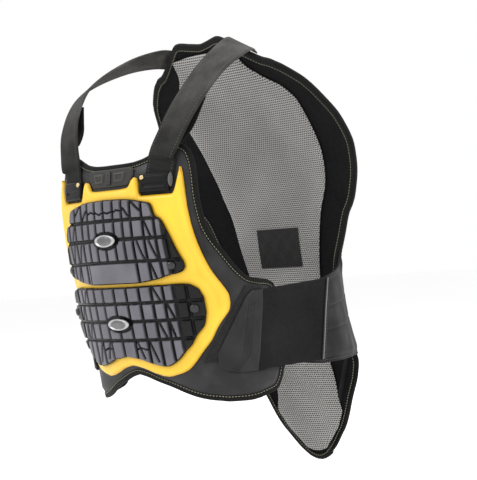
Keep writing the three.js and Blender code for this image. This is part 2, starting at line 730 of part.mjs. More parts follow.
// Straps: stations on the chest and in the free run over the shoulder to the top edge of the back
const STRAP_FOOT = [
  { down: 0.338, side: 0.37 },
  { down: 0.322, side: 0.379 },
  { down: 0.306, side: 0.388 },
  { down: 0.288, side: 0.399 },
];
const strapOnChest = CHEST_WALL + SEAM_GAP + STRAP_WALL / 2;
function strapStations(sign) {
  const stations = [];
  for (const { down, side } of STRAP_FOOT) {
    const s = sign * side * WING_REACH;
    const z = heightOf(down);
    stations.push([off(torso, s, z, strapOnChest), normalOf(torso, s, z)]);
  }
  for (const { across, forward, down, facing } of STRAP_RUN) {
    const point = new THREE.Vector3(sign * across * STRAP_SPREAD, -forward * CHEST_DEPTH, heightOf(down));
    const middle = new THREE.Vector3(sign * facing * STRAP_SPREAD, 0, heightOf(STRAP_FOOT[0].down));
    stations.push([point, point.clone().sub(middle).normalize()]);
  }
  return stations;
}
function strapGeometry(sign, width, thick, sink, slack, [from, to]) {
  const stations = strapStations(sign);
  const line = new THREE.CatmullRomCurve3(stations.map(([point]) => point));
  const normals = new THREE.CatmullRomCurve3(stations.map(([, normal]) => normal));
  return wall(evenly(to - from), [0, 1], (u, v, side) => {
    const t = mix(from, to, u) / STRAP_STEPS;
    const along = line.getTangent(t);
    const normal = normals.getPoint(t).normalize();
    const across = along.clone().cross(normal).normalize().multiplyScalar(-sign);
    const out = across.clone().cross(along).normalize();
    const face = out.dot(normal) < 0 ? out.negate() : out;
    const hang = sink + slack * Math.sin(Math.PI * u);
    return line
      .getPoint(t)
      .addScaledVector(across, (v - 0.5) * width)
      .addScaledVector(face, (side - 0.5) * thick - hang);
  });
}
const STRAP_STEPS = 28;
const RETURN_SLACK = 9;
const RETURN_STEPS = [14, 18];
for (const [side, sign] of SIDES) {
  add(`strap_${side}`, strapGeometry(sign, STRAP_WIDTH, STRAP_WALL, 0, 0, [0, STRAP_STEPS]), 0x3b3b3d, 0.85);
  const sink = (STRAP_WALL + RETURN_WALL) / 2 + LAYER_GAP;
  const under = strapGeometry(sign, RETURN_WIDTH, RETURN_WALL, sink, RETURN_SLACK, RETURN_STEPS);
  add(`strap_return_${side}`, under, 0x161617, 0.8);
}

// Buckles over the strap ends, each with a slot, and a rivet beside the strap
const BUCKLE_SIDE = 89;
const BUCKLE_DOWN = 0.333;
const BUCKLE_LOW = strapOnChest + STRAP_WALL / 2 + LAYER_GAP + GAP;
const RIVET_ASIDE = 19;
const RIVET_UP = 8.5;
const ringHalf = BUCKLE_HEIGHT / 2;
function buckleBlock(sign, width, low, high, inner, outer) {
  return wall([0, 0.25, 0.5, 0.75, 1], [0, 1], (u, v, side) => {
    const s = sign * (BUCKLE_SIDE + (u - 0.5) * width);
    return off(torso, s, heightOf(BUCKLE_DOWN) + mix(low, high, v), side ? outer : inner);
  });
}
for (const [side, sign] of SIDES) {
  const outer = BUCKLE_LOW + BUCKLE_WALL;
  const plate = solidOf(buckleBlock(sign, BUCKLE_WIDTH, -ringHalf, ringHalf, BUCKLE_LOW, outer));
  const gripWidth = BUCKLE_WIDTH - 2 * BUCKLE_EDGE;
  const floor = outer - BUCKLE_RECESS;
  const grip = solidOf(buckleBlock(sign, gripWidth, -BUCKLE_GRIP, 0, floor, outer + BUCKLE_RECESS));
  add(`buckle_${side}`, geometryOf(plate.subtract(grip)), 0x1a1a1c, 0.35);
  const rivet = add(`buckle_rivet_${side}`, dome(RIVET_RADIUS, RIVET_RISE, 8), 0xa98a4a, 0.35, 0.9);
  const place = sign * (BUCKLE_SIDE - RIVET_ASIDE);
  stand(rivet, torso, place, heightOf(BUCKLE_DOWN) + RIVET_UP, outer + GAP);
}

// Loop fabric on the front wings
const PATCH_LOW = CHEST_WALL + LAYER_GAP;
const BELT_LOW = PATCH_LOW + PATCH_WALL + LAYER_GAP;
const tabBack = (z) => WING_REACH * read(TAB_EDGES, "down", "back", downOf(z));
const tabFront = (z) => WING_REACH * read(TAB_EDGES, "down", "front", downOf(z));
for (const [side, sign] of SIDES) {
  const geometry = wall(evenly(6), evenly(6), (u, v, face) => {
    const z = mix(heightOf(PATCH_ENDS.bottom), heightOf(PATCH_ENDS.top), v);
    const front = WING_REACH * mix(PATCH_FRONT.bottom, PATCH_FRONT.top, v);
    return off(torso, sign * mix(front, tabBack(z), u), z, PATCH_LOW + face * PATCH_WALL);
  });
  add(`loop_patch_${side}`, geometry, 0x141414, 0.95);
}

// Moulded tabs, then the ribbed elastic behind them
for (const [side, sign] of SIDES) {
  const rows = TAB_EDGES.map((row) => heightOf(row.down)).reverse();
  const bottom = rows[0];
  const tall = rows[rows.length - 1] - bottom;
  const shares = rows.map((z) => (z - bottom) / tall);
  const geometry = wall(evenly(6), shares, (u, v, face) => {
    const z = bottom + v * tall;
    return off(torso, sign * mix(tabFront(z), tabBack(z), u), z, BELT_LOW + face * TAB_WALL);
  });
  add(`belt_tab_${side}`, geometry, 0x37373a, 0.5);
}
function elasticPoint(u, v) {
  const low = mix(ELASTIC.bottomFront, ELASTIC.bottomBack, u);
  const high = mix(ELASTIC.topFront, ELASTIC.topBack, u);
  const z = heightOf(mix(low, high, v));
  const end = WING_REACH * mix(ELASTIC_BACK.bottom, ELASTIC_BACK.top, v);
  return [mix(tabBack(z) + 2 * GAP, end, u), z];
}
const ELASTIC_LOW = CHEST_WALL + LAYER_GAP;
for (const [side, sign] of SIDES) {
  const geometry = wall(evenly(10), evenly(4), (u, v, face) => {
    const [s, z] = elasticPoint(u, v);
    return off(torso, sign * s, z, ELASTIC_LOW + face * ELASTIC_WALL);
  });
  add(`belt_${side}`, geometry, 0x1c1c1d, 0.9);
  const trim = wall([0, 1], evenly(4), (u, v, face) => {
    const [s, z] = elasticPoint(1, v);
    const low = ELASTIC_LOW + ELASTIC_WALL + GAP;
    return off(torso, sign * (s - (1 - u) * TRIM_WIDTH - GAP), z, low + face * TRIM_WALL);
  });
  add(`belt_trim_${side}`, trim, 0x6a6a6a, 0.7);
}

// Lumbar wings from the bound edge of the back panel to the elastic that lies over them. Their back
// ends leave the ring for the surface of the back panel.
const LUMBAR_LOW = ELASTIC_LOW - SEAM_GAP - LUMBAR_WALL;
const LUMBAR_RIM = 0.5;
const LEAVE_RING = 0.5;
for (const [side, sign] of SIDES) {
  const geometry = wall(padded(9), padded(3), (u, v, face) => {
    const top = heightOf(read(LUMBAR_ENDS, "along", "top", u));
    const bottom = heightOf(read(LUMBAR_ENDS, "along", "bottom", u));
    const z = mix(bottom, top, v);
    const s = mix(LUMBAR_FRONT * WING_REACH, ringToBack(z), u);
    const height = LUMBAR_LOW + LUMBAR_WALL * (face ? rimmed(2 * u - 1, v, LUMBAR_RIM) : 0);
    const onRing = off(torso, sign * s, z, height);
    const onBack = off(back, -sign * (backHalf(z) + SEAM_REACH), z, height);
    return onRing.lerp(onBack, THREE.MathUtils.smoothstep(u, LEAVE_RING, 1));
  });
  add(`lumbar_wing_${side}`, geometry, 0x333336, 0.7);
}

export default group;
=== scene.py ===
import math

import bpy
import numpy as np
from mathutils import Matrix, Quaternion, Vector


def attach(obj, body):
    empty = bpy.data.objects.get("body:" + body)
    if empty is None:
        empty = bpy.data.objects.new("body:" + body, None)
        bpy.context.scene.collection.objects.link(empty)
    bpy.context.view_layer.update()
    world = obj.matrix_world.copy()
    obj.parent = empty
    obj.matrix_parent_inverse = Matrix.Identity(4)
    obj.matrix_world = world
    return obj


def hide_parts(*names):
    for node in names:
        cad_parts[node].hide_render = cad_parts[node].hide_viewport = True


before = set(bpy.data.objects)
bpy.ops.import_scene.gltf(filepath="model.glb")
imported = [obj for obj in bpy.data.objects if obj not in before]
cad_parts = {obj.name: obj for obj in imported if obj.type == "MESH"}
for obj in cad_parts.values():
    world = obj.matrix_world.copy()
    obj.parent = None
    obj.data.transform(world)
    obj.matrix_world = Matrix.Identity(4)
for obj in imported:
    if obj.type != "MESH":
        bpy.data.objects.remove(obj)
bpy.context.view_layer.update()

# Back panel. A foam shield with a tail, covered in smooth black cloth and pressed thin along its
# edge, where the binding is sewn on. It is cut flat as a grid and bent over the back's form.
BODY_HEIGHT = 0.66
BACK_DEPTH = 0.214
BACK_CROWN_RADIUS = 0.9
BACK_HALF_WIDTH = 0.201
BACK_WALL = 0.012
BACK_EDGE_WALL = 0.0066
BACK_PROFILE = [
    (-0.02, -0.02), (0.055, 0.17), (0.121, 0.375), (0.195, 0.56), (0.273, 0.7), (0.348, 0.765),
    (0.417, 0.775), (0.482, 0.785), (0.559, 0.815), (0.66, 0.875), (0.771, 0.94), (0.848, 0.975),
    (0.92, 1), (1.032, 1.05),
]
BACK_WIDTHS = [
    (0.01, 0.54), (0.058, 0.58), (0.068, 0.655), (0.081, 0.71), (0.118, 0.845), (0.164, 0.925),
    (0.205, 0.98), (0.252, 0.99), (0.298, 0.96), (0.352, 0.9), (0.392, 0.85), (0.424, 0.77),
    (0.47, 0.705), (0.495, 0.665), (0.53, 0.605), (0.576, 0.56), (0.667, 0.54), (0.742, 0.57),
    (0.78, 0.597), (0.815, 0.565), (0.876, 0.458), (0.921, 0.388), (0.95, 0.33), (0.97, 0.274),
    (1.003, 0.18), (1.018, 0.12),
]
BACK_TOP = [(0, 0.006), (0.2, 0.001), (0.4, -0.004), (0.64, 0.018), (0.8, 0.038), (1, 0.063)]
BACK_FOOT = [(0, 1.032), (0.2, 1.031), (0.4, 1.029), (0.64, 1.026), (0.8, 1.023), (1, 1.018)]


def read(rows, at):
    """Smooth value of a table of (place, value) rows."""
    place = np.array([row[0] for row in rows], dtype=float)
    value = np.array([row[1] for row in rows], dtype=float)
    slope = np.diff(value) / np.diff(place)
    before, after = slope[:-1], slope[1:]
    total = np.where(before + after == 0, 1, before + after)
    inner = np.where(before * after > 0, 2 * before * after / total, 0)
    turn = np.concatenate([slope[:1], inner, slope[-1:]])
    at = np.clip(at, place[0], place[-1])
    i = np.clip(np.searchsorted(place, at) - 1, 0, len(place) - 2)
    span = place[i + 1] - place[i]
    t = (at - place[i]) / span
    rise = (3 - 2 * t) * t * t
    bow = span * t * (1 - t) * ((1 - t) * turn[i] - t * turn[i + 1])
    return value[i] * (1 - rise) + value[i + 1] * rise + bow


def back(a, z):
    """Inner face of the back panel: a runs to the wearer's right, z is the height."""
    a, z = np.broadcast_arrays(a, z)
    y = BACK_DEPTH * read(BACK_PROFILE, -z / BODY_HEIGHT) - a * a / (2 * BACK_CROWN_RADIUS)
    return np.stack([-a, y, z], axis=-1)


def outward(surface, a, z):
    """Outward direction of a body form."""
    step = 0.0005
    across = surface(a + step, z) - surface(a - step, z)
    up = surface(a, z + step) - surface(a, z - step)
    normal = np.cross(across, up)
    return normal / np.linalg.norm(normal, axis=-1, keepdims=True)


def over(surface, a, z, height):
    """Points that stand off a body form by a height."""
    height = np.broadcast_to(height, np.shape(a))
    return surface(a, z) + outward(surface, a, z) * height[..., None]


def cut_flat(name, columns, rows):
    """A flat piece, cut as a grid. Also gives each point's place across (-1 to 1) and up (0 to 1)."""
    bpy.ops.object.select_all(action="DESELECT")
    bpy.ops.mesh.primitive_grid_add(x_subdivisions=columns, y_subdivisions=rows, size=2)
    piece = bpy.context.object
    piece.name = name
    piece.data.name = name
    flat = np.empty(len(piece.data.vertices) * 3)
    piece.data.vertices.foreach_get("co", flat)
    flat = flat.reshape(-1, 3)
    return piece, flat[:, 0], (flat[:, 1] + 1) / 2


def bend(piece, points, a, z):
    """Bends a flat piece to its place and keeps its pattern in metres as its UV map."""
    piece.data.vertices.foreach_set("co", np.ascontiguousarray(points, dtype=np.float32).ravel())
    corners = np.empty(len(piece.data.loops), dtype=np.int32)
    piece.data.loops.foreach_get("vertex_index", corners)
    pattern = np.stack(np.broadcast_arrays(a, z), axis=-1)[corners].astype(np.float32)
    piece.data.uv_layers.active.data.foreach_set("uv", pattern.ravel())
    piece.data.update()


def work_with(piece, kind, **settings):
    """Finishes a piece with one modifier, which is applied."""
    bpy.ops.object.select_all(action="DESELECT")
    piece.select_set(True)
    bpy.context.view_layer.objects.active = piece
    modifier = piece.modifiers.new(kind.lower(), kind)
    for key, value in settings.items():
        setattr(modifier, key, value)
    bpy.ops.object.modifier_apply(modifier=modifier.name)


def thicken(piece, wall, share=None, side=1):
    """Gives a bent piece its wall, each point with its own share of it."""
    settings = {"thickness": wall, "offset": side}
    if share is not None:
        group = piece.vertex_groups.new(name="wall")
        for index, weight in enumerate(np.clip(share, 0.01, 1)):
            group.add([index], float(weight), "REPLACE")
        settings["vertex_group"] = "wall"
    work_with(piece, "SOLIDIFY", **settings)
    piece.vertex_groups.clear()


def smooth(piece, degrees=40):
    """Shades a piece smooth, apart from edges sharper than an angle."""
    bpy.ops.object.select_all(action="DESELECT")
    piece.select_set(True)
    bpy.context.view_layer.objects.active = piece
    bpy.ops.object.shade_smooth_by_angle(angle=math.radians(degrees))


def round_edges(piece, width, segments=3, degrees=55):
    """Rounds the sharp rims of a piece."""
    work_with(
        piece, "BEVEL", width=width, segments=segments, limit_method="ANGLE",
        angle_limit=math.radians(degrees), use_clamp_overlap=True,
    )
    smooth(piece)


def evenly(loop, pitch, closed=True):
    """The same path with points at an even pitch."""
    if closed:
        loop = np.vstack([loop, loop[:1]])
    run = np.concatenate([[0], np.cumsum(np.linalg.norm(np.diff(loop[:, :3], axis=0), axis=1))])
    count = max(2, round(run[-1] / pitch))
    at = np.linspace(0, run[-1], count + 1)
    if closed:
        at = at[:-1]
    return np.stack([np.interp(at, run, loop[:, k]) for k in range(loop.shape[1])], axis=-1)


def ways(loop, closed=True):
    """Direction along a path at each of its points."""
    if closed:
        way = np.roll(loop, -1, axis=0) - np.roll(loop, 1, axis=0)
    else:
        way = np.gradient(loop, axis=0)
    return way / np.linalg.norm(way, axis=1, keepdims=True)


def inside(loop, depth):
    """A closed path, counter-clockwise, moved in from itself."""
    way = ways(loop)
    return loop + np.stack([-way[:, 1], way[:, 0]], axis=-1) * depth


def from_edge(spots, loop):
    """Distance of each spot from a path."""
    least = np.full(len(spots), 1.0)
    ends = np.roll(loop, -1, axis=0)
    for start, end in zip(loop, ends):
        run = end - start
        share = np.clip(((spots - start) @ run) / max(run @ run, 1e-12), 0, 1)
        gap = np.linalg.norm(spots - start - share[:, None] * run, axis=1)
        least = np.minimum(least, gap)
    return least


def eased(value, start, end):
    """0 before start, 1 after end and a soft step between."""
    t = np.clip((value - start) / (end - start), 0, 1)
    return t * t * (3 - 2 * t)


def back_place(u, v):
    share = np.abs(u)
    top = -BODY_HEIGHT * read(BACK_TOP, share)
    foot = -BODY_HEIGHT * read(BACK_FOOT, share)
    z = foot + (top - foot) * v
    return u * BACK_HALF_WIDTH * read(BACK_WIDTHS, -z / BODY_HEIGHT), z


def outline(place, steps=60):
    """Closed outline of a piece, counter-clockwise."""
    run = np.linspace(-1, 1, steps)
    rise = np.linspace(0, 1, steps)[1:-1]
    sides = [
        place(run, 0 * run), place(1 + 0 * rise, rise),
        place(run[::-1], 1 + 0 * run), place(-1 + 0 * rise, rise[::-1]),
    ]
    return np.vstack([np.stack(np.broadcast_arrays(a, z), axis=-1) for a, z in sides])


back_outline = evenly(outline(back_place), 0.006)
back_panel, u, v = cut_flat("back_shell", 70, 124)
a, z = back_place(u, v)
rim = from_edge(np.stack([a, z], axis=-1), back_outline)
bend(back_panel, back(a, z), a, z)
edge_share = BACK_EDGE_WALL / BACK_WALL
spine = 1 - 0.12 * np.exp(-((np.abs(a) - 0.045) / 0.003) ** 2) * eased(rim, 0.03, 0.05)
thicken(back_panel, BACK_WALL, (edge_share + (1 - edge_share) * eased(rim, 0.006, 0.022)) * spine)
round_edges(back_panel, 0.0015, 2)


def calc(tree, operation, *values):
    """One step of arithmetic in a material."""
    node = tree.nodes.new("ShaderNodeMath")
    node.operation = operation
    for socket, value in zip(node.inputs, values):
        if isinstance(value, (int, float)):
            socket.default_value = value
        else:
            tree.links.new(value, socket)
    return node.outputs[0]


def effect(name, sizes, results):
    """A named effect for several materials: its group, its input sockets and its output node."""
    group = bpy.data.node_groups.new(name, "ShaderNodeTree")
    group.interface.new_socket(name="Pattern", in_out="INPUT", socket_type="NodeSocketVector")
    for size in sizes:
        group.interface.new_socket(name=size, in_out="INPUT", socket_type="NodeSocketFloat")
    for result in results:
        group.interface.new_socket(name=result, in_out="OUTPUT", socket_type="NodeSocketFloat")
    return group, group.nodes.new("NodeGroupInput").outputs, group.nodes.new("NodeGroupOutput").inputs


def mottling(tree, pattern, scale, low, high, detail=4.0):
    """Soft cloudy patches from 0 to 1."""
    noise = tree.nodes.new("ShaderNodeTexNoise")
    noise.inputs["Detail"].default_value = detail
    tree.links.new(pattern, noise.inputs["Vector"])
    if isinstance(scale, (int, float)):
        noise.inputs["Scale"].default_value = scale
    else:
        tree.links.new(scale, noise.inputs["Scale"])
    spread = tree.nodes.new("ShaderNodeMapRange")
    spread.inputs["From Min"].default_value = low
    spread.inputs["From Max"].default_value = high
    tree.links.new(noise.outputs[0], spread.inputs["Value"])
    return spread.outputs[0]


# Weave: small raised squares where one thread passes over the other
weave, given, gives = effect("weave", ["Thread"], ["Height"])
split = weave.nodes.new("ShaderNodeSeparateXYZ")
weave.links.new(given["Pattern"], split.inputs[0])
turns = [calc(weave, "DIVIDE", split.outputs[k], given["Thread"]) for k in (0, 1)]
waves = [calc(weave, "SINE", calc(weave, "MULTIPLY", turn, math.pi)) for turn in turns]
weave.links.new(calc(weave, "ABSOLUTE", calc(weave, "MULTIPLY", *waves)), gives["Height"])

# Patches: cloudy handling marks and fading
patches, given, gives = effect("patches", ["Scale"], ["Mask", "Fine"])
patches.links.new(mottling(patches, given["Pattern"], given["Scale"], 0.35, 0.68), gives["Mask"])
finer = calc(patches, "MULTIPLY", given["Scale"], 9)
patches.links.new(mottling(patches, given["Pattern"], finer, 0.3, 0.7), gives["Fine"])


def finish(name, color, roughness):
    """A new material with its plain colour and roughness set on the shader."""
    made = bpy.data.materials.new(name)
    made.use_nodes = True
    shader = made.node_tree.nodes["Principled BSDF"]
    shader.inputs["Base Color"].default_value = (*color, 1)
    shader.inputs["Roughness"].default_value = roughness
    return made, made.node_tree, shader


def place_effect(tree, group, on_uv=True, **sizes):
    """Puts an effect in a material, on the cut pattern or on the piece's own place."""
    if on_uv:
        source = tree.nodes.new("ShaderNodeUVMap").outputs[0]
    else:
        source = tree.nodes.new("ShaderNodeTexCoord").outputs["Object"]
    node = tree.nodes.new("ShaderNodeGroup")
    node.node_tree = group
    tree.links.new(source, node.inputs["Pattern"])
    for key, value in sizes.items():
        node.inputs[key].default_value = value
    return node.outputs


def two_tones(tree, shader, mask, low, high):
    """Base colour between two tones of one stuff."""
    blend = tree.nodes.new("ShaderNodeMix")
    blend.data_type = "RGBA"
    blend.inputs["A"].default_value = (*low, 1)
    blend.inputs["B"].default_value = (*high, 1)
    tree.links.new(mask, blend.inputs["Factor"])
    tree.links.new(blend.outputs["Result"], shader.inputs["Base Color"])
    return blend


def rougher(tree, shader, mask, low, high):
    """Roughness that follows a mask."""
    spread = tree.nodes.new("ShaderNodeMapRange")
    spread.inputs["To Min"].default_value = low
    spread.inputs["To Max"].default_value = high
    tree.links.new(mask, spread.inputs["Value"])
    tree.links.new(spread.outputs[0], shader.inputs["Roughness"])


def raised(tree, shader, height, distance, strength=1.0):
    """Fine relief."""
    bump = tree.nodes.new("ShaderNodeBump")
    bump.inputs["Distance"].default_value = distance
    bump.inputs["Strength"].default_value = strength
    tree.links.new(height, bump.inputs["Height"])
    tree.links.new(bump.outputs[0], shader.inputs["Normal"])


def paint(piece, tone):
    """Keeps a tone from 0 to 1 on each point of a piece, the same on both of its faces."""
    every = np.resize(np.asarray(tone, dtype=np.float32), len(piece.data.vertices))
    piece.data.attributes.new("tone", "FLOAT", "POINT").data.foreach_set("value", every)


def painted(tree):
    """The tone that was kept on the points."""
    node = tree.nodes.new("ShaderNodeAttribute")
    node.attribute_name = "tone"
    return node.outputs["Fac"]


def cloth(name, dark, light, thread, roughness=0.8, sheen=0.25, patch=14, shine=0.14):
    """Woven cloth: threads, cloudy fading and a faint sheen."""
    made, tree, shader = finish(name, dark, roughness)
    shader.inputs["Specular IOR Level"].default_value = shine
    shader.inputs["Sheen Weight"].default_value = sheen
    shader.inputs["Sheen Roughness"].default_value = 0.5
    faded = place_effect(tree, patches, Scale=patch)
    threads = place_effect(tree, weave, Thread=thread)["Height"]
    mask = calc(tree, "MULTIPLY_ADD", threads, 0.45, calc(tree, "MULTIPLY", faded["Mask"], 0.55))
    two_tones(tree, shader, mask, dark, light)
    rougher(tree, shader, faded["Fine"], roughness - 0.08, min(1, roughness + 0.1))
    raised(tree, shader, threads, thread * 0.3, 0.7)
    return made


def part_of(piece, node, material):
    """Gives a finished piece its material and its place on the protector, and hides the CAD node that it
    stands for.
    """
    piece.data.materials.clear()
    piece.data.materials.append(material)
    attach(piece, "root")
    if node:
        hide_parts(node)


black_cloth = cloth(
    "black_cloth", (0.003, 0.003, 0.0035), (0.009, 0.009, 0.01), 0.0009, sheen=0.02, shine=0.05,
)
part_of(back_panel, "back_panel", black_cloth)

# Knit lining. A thin pad of open spacer knit on the inside of the back, sewn down round its edge
# and pressed thin there.
LINING_HALF_WIDTH = 0.133
LINING_GAP = 0.0021
LINING_WALL = 0.003
LINING_WIDTHS = [
    (0.026, 0.52), (0.055, 0.56), (0.085, 0.7), (0.12, 0.93), (0.15, 1), (0.25, 0.98), (0.35, 0.88),
    (0.417, 0.75), (0.5, 0.66), (0.559, 0.6), (0.66, 0.52), (0.77, 0.46), (0.83, 0.5), (0.875, 0.51),
    (0.907, 0.54), (0.93, 0.48), (0.95, 0.419), (0.97, 0.327), (0.99, 0.231), (1.003, 0.17),
]


def lining_place(u, v):
    share = np.abs(u)
    top = LINING_WIDTHS[0][0] - 0.008 * (1 - share * share)
    foot = LINING_WIDTHS[-1][0] + 0.008 * (1 - share * share)
    down = foot + (top - foot) * v
    return u * LINING_HALF_WIDTH * read(LINING_WIDTHS, down), -BODY_HEIGHT * down


lining_outline = evenly(outline(lining_place), 0.006)
lining, u, v = cut_flat("knit_lining_pad", 40, 96)
a, z = lining_place(u, v)
rim = from_edge(np.stack([a, z], axis=-1), lining_outline)
bend(lining, over(back, a, z, -LINING_GAP), a, z)
thicken(lining, LINING_WALL, 0.4 + 0.6 * eased(rim, 0.001, 0.007), side=-1)
round_edges(lining, 0.0005, 2)

# Open knit: staggered rows of small holes between raised ribs of yarn
knit, given, gives = effect("knit", ["Pitch"], ["Hole", "Height"])
split = knit.nodes.new("ShaderNodeSeparateXYZ")
knit.links.new(given["Pattern"], split.inputs[0])
row = calc(knit, "DIVIDE", split.outputs[1], calc(knit, "MULTIPLY", given["Pitch"], 0.72))
shift = calc(knit, "MULTIPLY", calc(knit, "MODULO", calc(knit, "FLOOR", row), 2.0), 0.5)
column = calc(knit, "ADD", calc(knit, "DIVIDE", split.outputs[0], given["Pitch"]), shift)
aside = calc(knit, "SUBTRACT", calc(knit, "FRACT", column), 0.5)
above = calc(knit, "SUBTRACT", calc(knit, "FRACT", row), 0.5)
HOLE_FLATNESS = 1.12
squeezed = calc(knit, "MULTIPLY", above, HOLE_FLATNESS)
squares = [calc(knit, "POWER", way, 2.0) for way in (aside, squeezed)]
ring = calc(knit, "SQRT", calc(knit, "ADD", *squares))
clear = knit.nodes.new("ShaderNodeMapRange")
clear.inputs["From Min"].default_value = 0.44
clear.inputs["From Max"].default_value = 0.34
knit.links.new(ring, clear.inputs["Value"])
knit.links.new(clear.outputs[0], gives["Hole"])
knit.links.new(calc(knit, "SUBTRACT", 1.0, clear.outputs[0]), gives["Height"])

KNIT_LIGHT = (0.44, 0.432, 0.41)
KNIT_SHADE = (0.33, 0.323, 0.31)
KNIT_HOLE = (0.035, 0.034, 0.033)
knit_grey, tree, shader = finish("grey_knit", KNIT_LIGHT, 0.85)
shader.inputs["Sheen Weight"].default_value = 0.2
worn = place_effect(tree, patches, Scale=9.0)
holes = place_effect(tree, knit, Pitch=0.0046)
yarn = two_tones(tree, shader, worn["Mask"], KNIT_SHADE, KNIT_LIGHT)
pierced = tree.nodes.new("ShaderNodeMix")
pierced.data_type = "RGBA"
pierced.inputs["B"].default_value = (*KNIT_HOLE, 1)
tree.links.new(yarn.outputs["Result"], pierced.inputs["A"])
tree.links.new(holes["Hole"], pierced.inputs["Factor"])
tree.links.new(pierced.outputs["Result"], shader.inputs["Base Color"])
rougher(tree, shader, worn["Fine"], 0.78, 0.95)
raised(tree, shader, holes["Height"], 0.0009)
part_of(lining, "back_lining", knit_grey)

# Label patch. A plain piece of black satin in the small of the back.
LABEL_WIDTH = 0.092
LABEL_HEIGHT = 0.063
LABEL_DOWN = 0.495
LABEL_WALL = 0.0008
LABEL_DEPTH = 0.006
label, u, v = cut_flat("label_patch", 46, 32)
a = u * LABEL_WIDTH / 2
z = -BODY_HEIGHT * LABEL_DOWN + (v - 0.5) * LABEL_HEIGHT
label_edge = np.minimum(LABEL_WIDTH / 2 - np.abs(a), LABEL_HEIGHT / 2 - np.abs(v - 0.5) * LABEL_HEIGHT)
ripple = 0.0004 * np.sin(a * 210 + 1) * np.sin(z * 160) * eased(label_edge, 0.004, 0.012)
bend(label, over(back, a, z, -LABEL_DEPTH + ripple), a, z)
thicken(label, LABEL_WALL, side=-1)
smooth(label)
satin = cloth("black_satin", (0.005, 0.005, 0.005), (0.011, 0.011, 0.011), 0.0006, roughness=0.5, sheen=0.1)
part_of(label, "back_label", satin)

# Chest panel. A foam pad in smooth coated cloth that wraps from the chest to both sides, cut in
# one with its armholes and front wings.
CHEST_DEPTH = 0.2
FRONT_RADIUS = 0.24
FRONT_ARC = 0.147
SIDE_RADIUS = 0.072
BACK_CORNER_RADIUS = 0.12
WING_REACH = 0.25
CHEST_WALL = 0.008
CHEST_EDGE_WALL = 0.0044
CHEST_LINE = [
    (0.24, 0.89), (0.305, 0.915), (0.38, 0.935), (0.447, 0.93), (0.517, 0.905), (0.6, 0.87),
    (0.745, 0.79), (0.85, 0.745),
]
CHEST_ROUND = [
    (0.24, 1.65), (0.305, 1.65), (0.38, 1.5), (0.447, 1.3), (0.517, 1.1), (0.6, 1), (0.745, 1), (0.85, 1),
]
CHEST_TOP = [
    (0, 0.286), (0.065, 0.286), (0.15, 0.285), (0.24, 0.28), (0.324, 0.269), (0.4, 0.258), (0.48, 0.253),
    (0.545, 0.262), (0.58, 0.288), (0.6, 0.325), (0.608, 0.37), (0.62, 0.42), (0.65, 0.455), (0.69, 0.486),
    (0.75, 0.529), (0.81, 0.553), (0.88, 0.56), (0.93, 0.562), (0.965, 0.565), (1, 0.572),
]
CHEST_FOOT = [
    (0, 0.753), (0.065, 0.759), (0.15, 0.771), (0.24, 0.783), (0.324, 0.797), (0.4, 0.808), (0.48, 0.815),
    (0.545, 0.818), (0.58, 0.82), (0.6, 0.82), (0.69, 0.82), (0.75, 0.817), (0.81, 0.811), (0.88, 0.803),
    (0.93, 0.782), (0.965, 0.757), (1, 0.745),
]


def ring_at(z):
    """Sizes of the ring round the body at a height."""
    down = -z / BODY_HEIGHT
    chest = -CHEST_DEPTH * read(CHEST_LINE, down)
    front = FRONT_RADIUS * read(CHEST_ROUND, down)
    turn = FRONT_ARC / front
    side_x = front * np.sin(turn) + SIDE_RADIUS * (1 - np.sin(turn))
    side_y = front * (1 - np.cos(turn)) + SIDE_RADIUS * np.cos(turn)
    depth = BACK_DEPTH * read(BACK_PROFILE, down) - chest
    side_start = FRONT_ARC + SIDE_RADIUS * (math.pi / 2 - turn)
    corner_start = side_start + depth - BACK_CORNER_RADIUS - side_y
    return chest, front, turn, side_x, side_y, depth, side_start, corner_start


def torso(s, z):
    """Body form of the chest and sides: s runs round from the middle of the chest."""
    s, z = np.broadcast_arrays(s, z)
    chest, front, turn, side_x, side_y, depth, side_start, corner_start = ring_at(z)
    way = np.abs(s)
    bow = way / front
    bend_in = turn + (way - FRONT_ARC) / SIDE_RADIUS
    corner = (way - corner_start) / BACK_CORNER_RADIUS
    places = [way <= FRONT_ARC, way <= side_start, way <= corner_start]
    x = np.select(places, [
        front * np.sin(bow), side_x - SIDE_RADIUS * (1 - np.sin(bend_in)), side_x,
    ], side_x - BACK_CORNER_RADIUS * (1 - np.cos(corner)))
    y = np.select(places, [
        front * (1 - np.cos(bow)), side_y - SIDE_RADIUS * np.cos(bend_in), side_y + way - side_start,
    ], depth - BACK_CORNER_RADIUS * (1 - np.sin(corner)))
    return np.stack([np.sign(s) * x, chest + y, z], axis=-1)


def chest_place(u, v, top=CHEST_TOP, foot=CHEST_FOOT, reach=WING_REACH):
    share = np.abs(u)
    high = -BODY_HEIGHT * read(top, share)
    low = -BODY_HEIGHT * read(foot, share)
    return u * reach, low + (high - low) * v


chest_outline = evenly(outline(chest_place, 160), 0.005)
chest_panel, u, v = cut_flat("chest_shell", 150, 72)
s, z = chest_place(u, v)
rim = from_edge(np.stack([s, z], axis=-1), chest_outline)
bend(chest_panel, torso(s, z), s, z)
down = -z / BODY_HEIGHT
hem_seam = np.exp(-((down - 0.742 - 0.02 * np.abs(u)) / 0.0022) ** 2) * eased(np.abs(u), 0.5, 0.58)
edge_share = CHEST_EDGE_WALL / CHEST_WALL
hem_seam = hem_seam * eased(rim, 0.004, 0.01)
share = edge_share + (1 - edge_share) * eased(rim, 0.005, 0.016)
thicken(chest_panel, CHEST_WALL, share * (1 - 0.22 * hem_seam))
round_edges(chest_panel, 0.0012, 2)

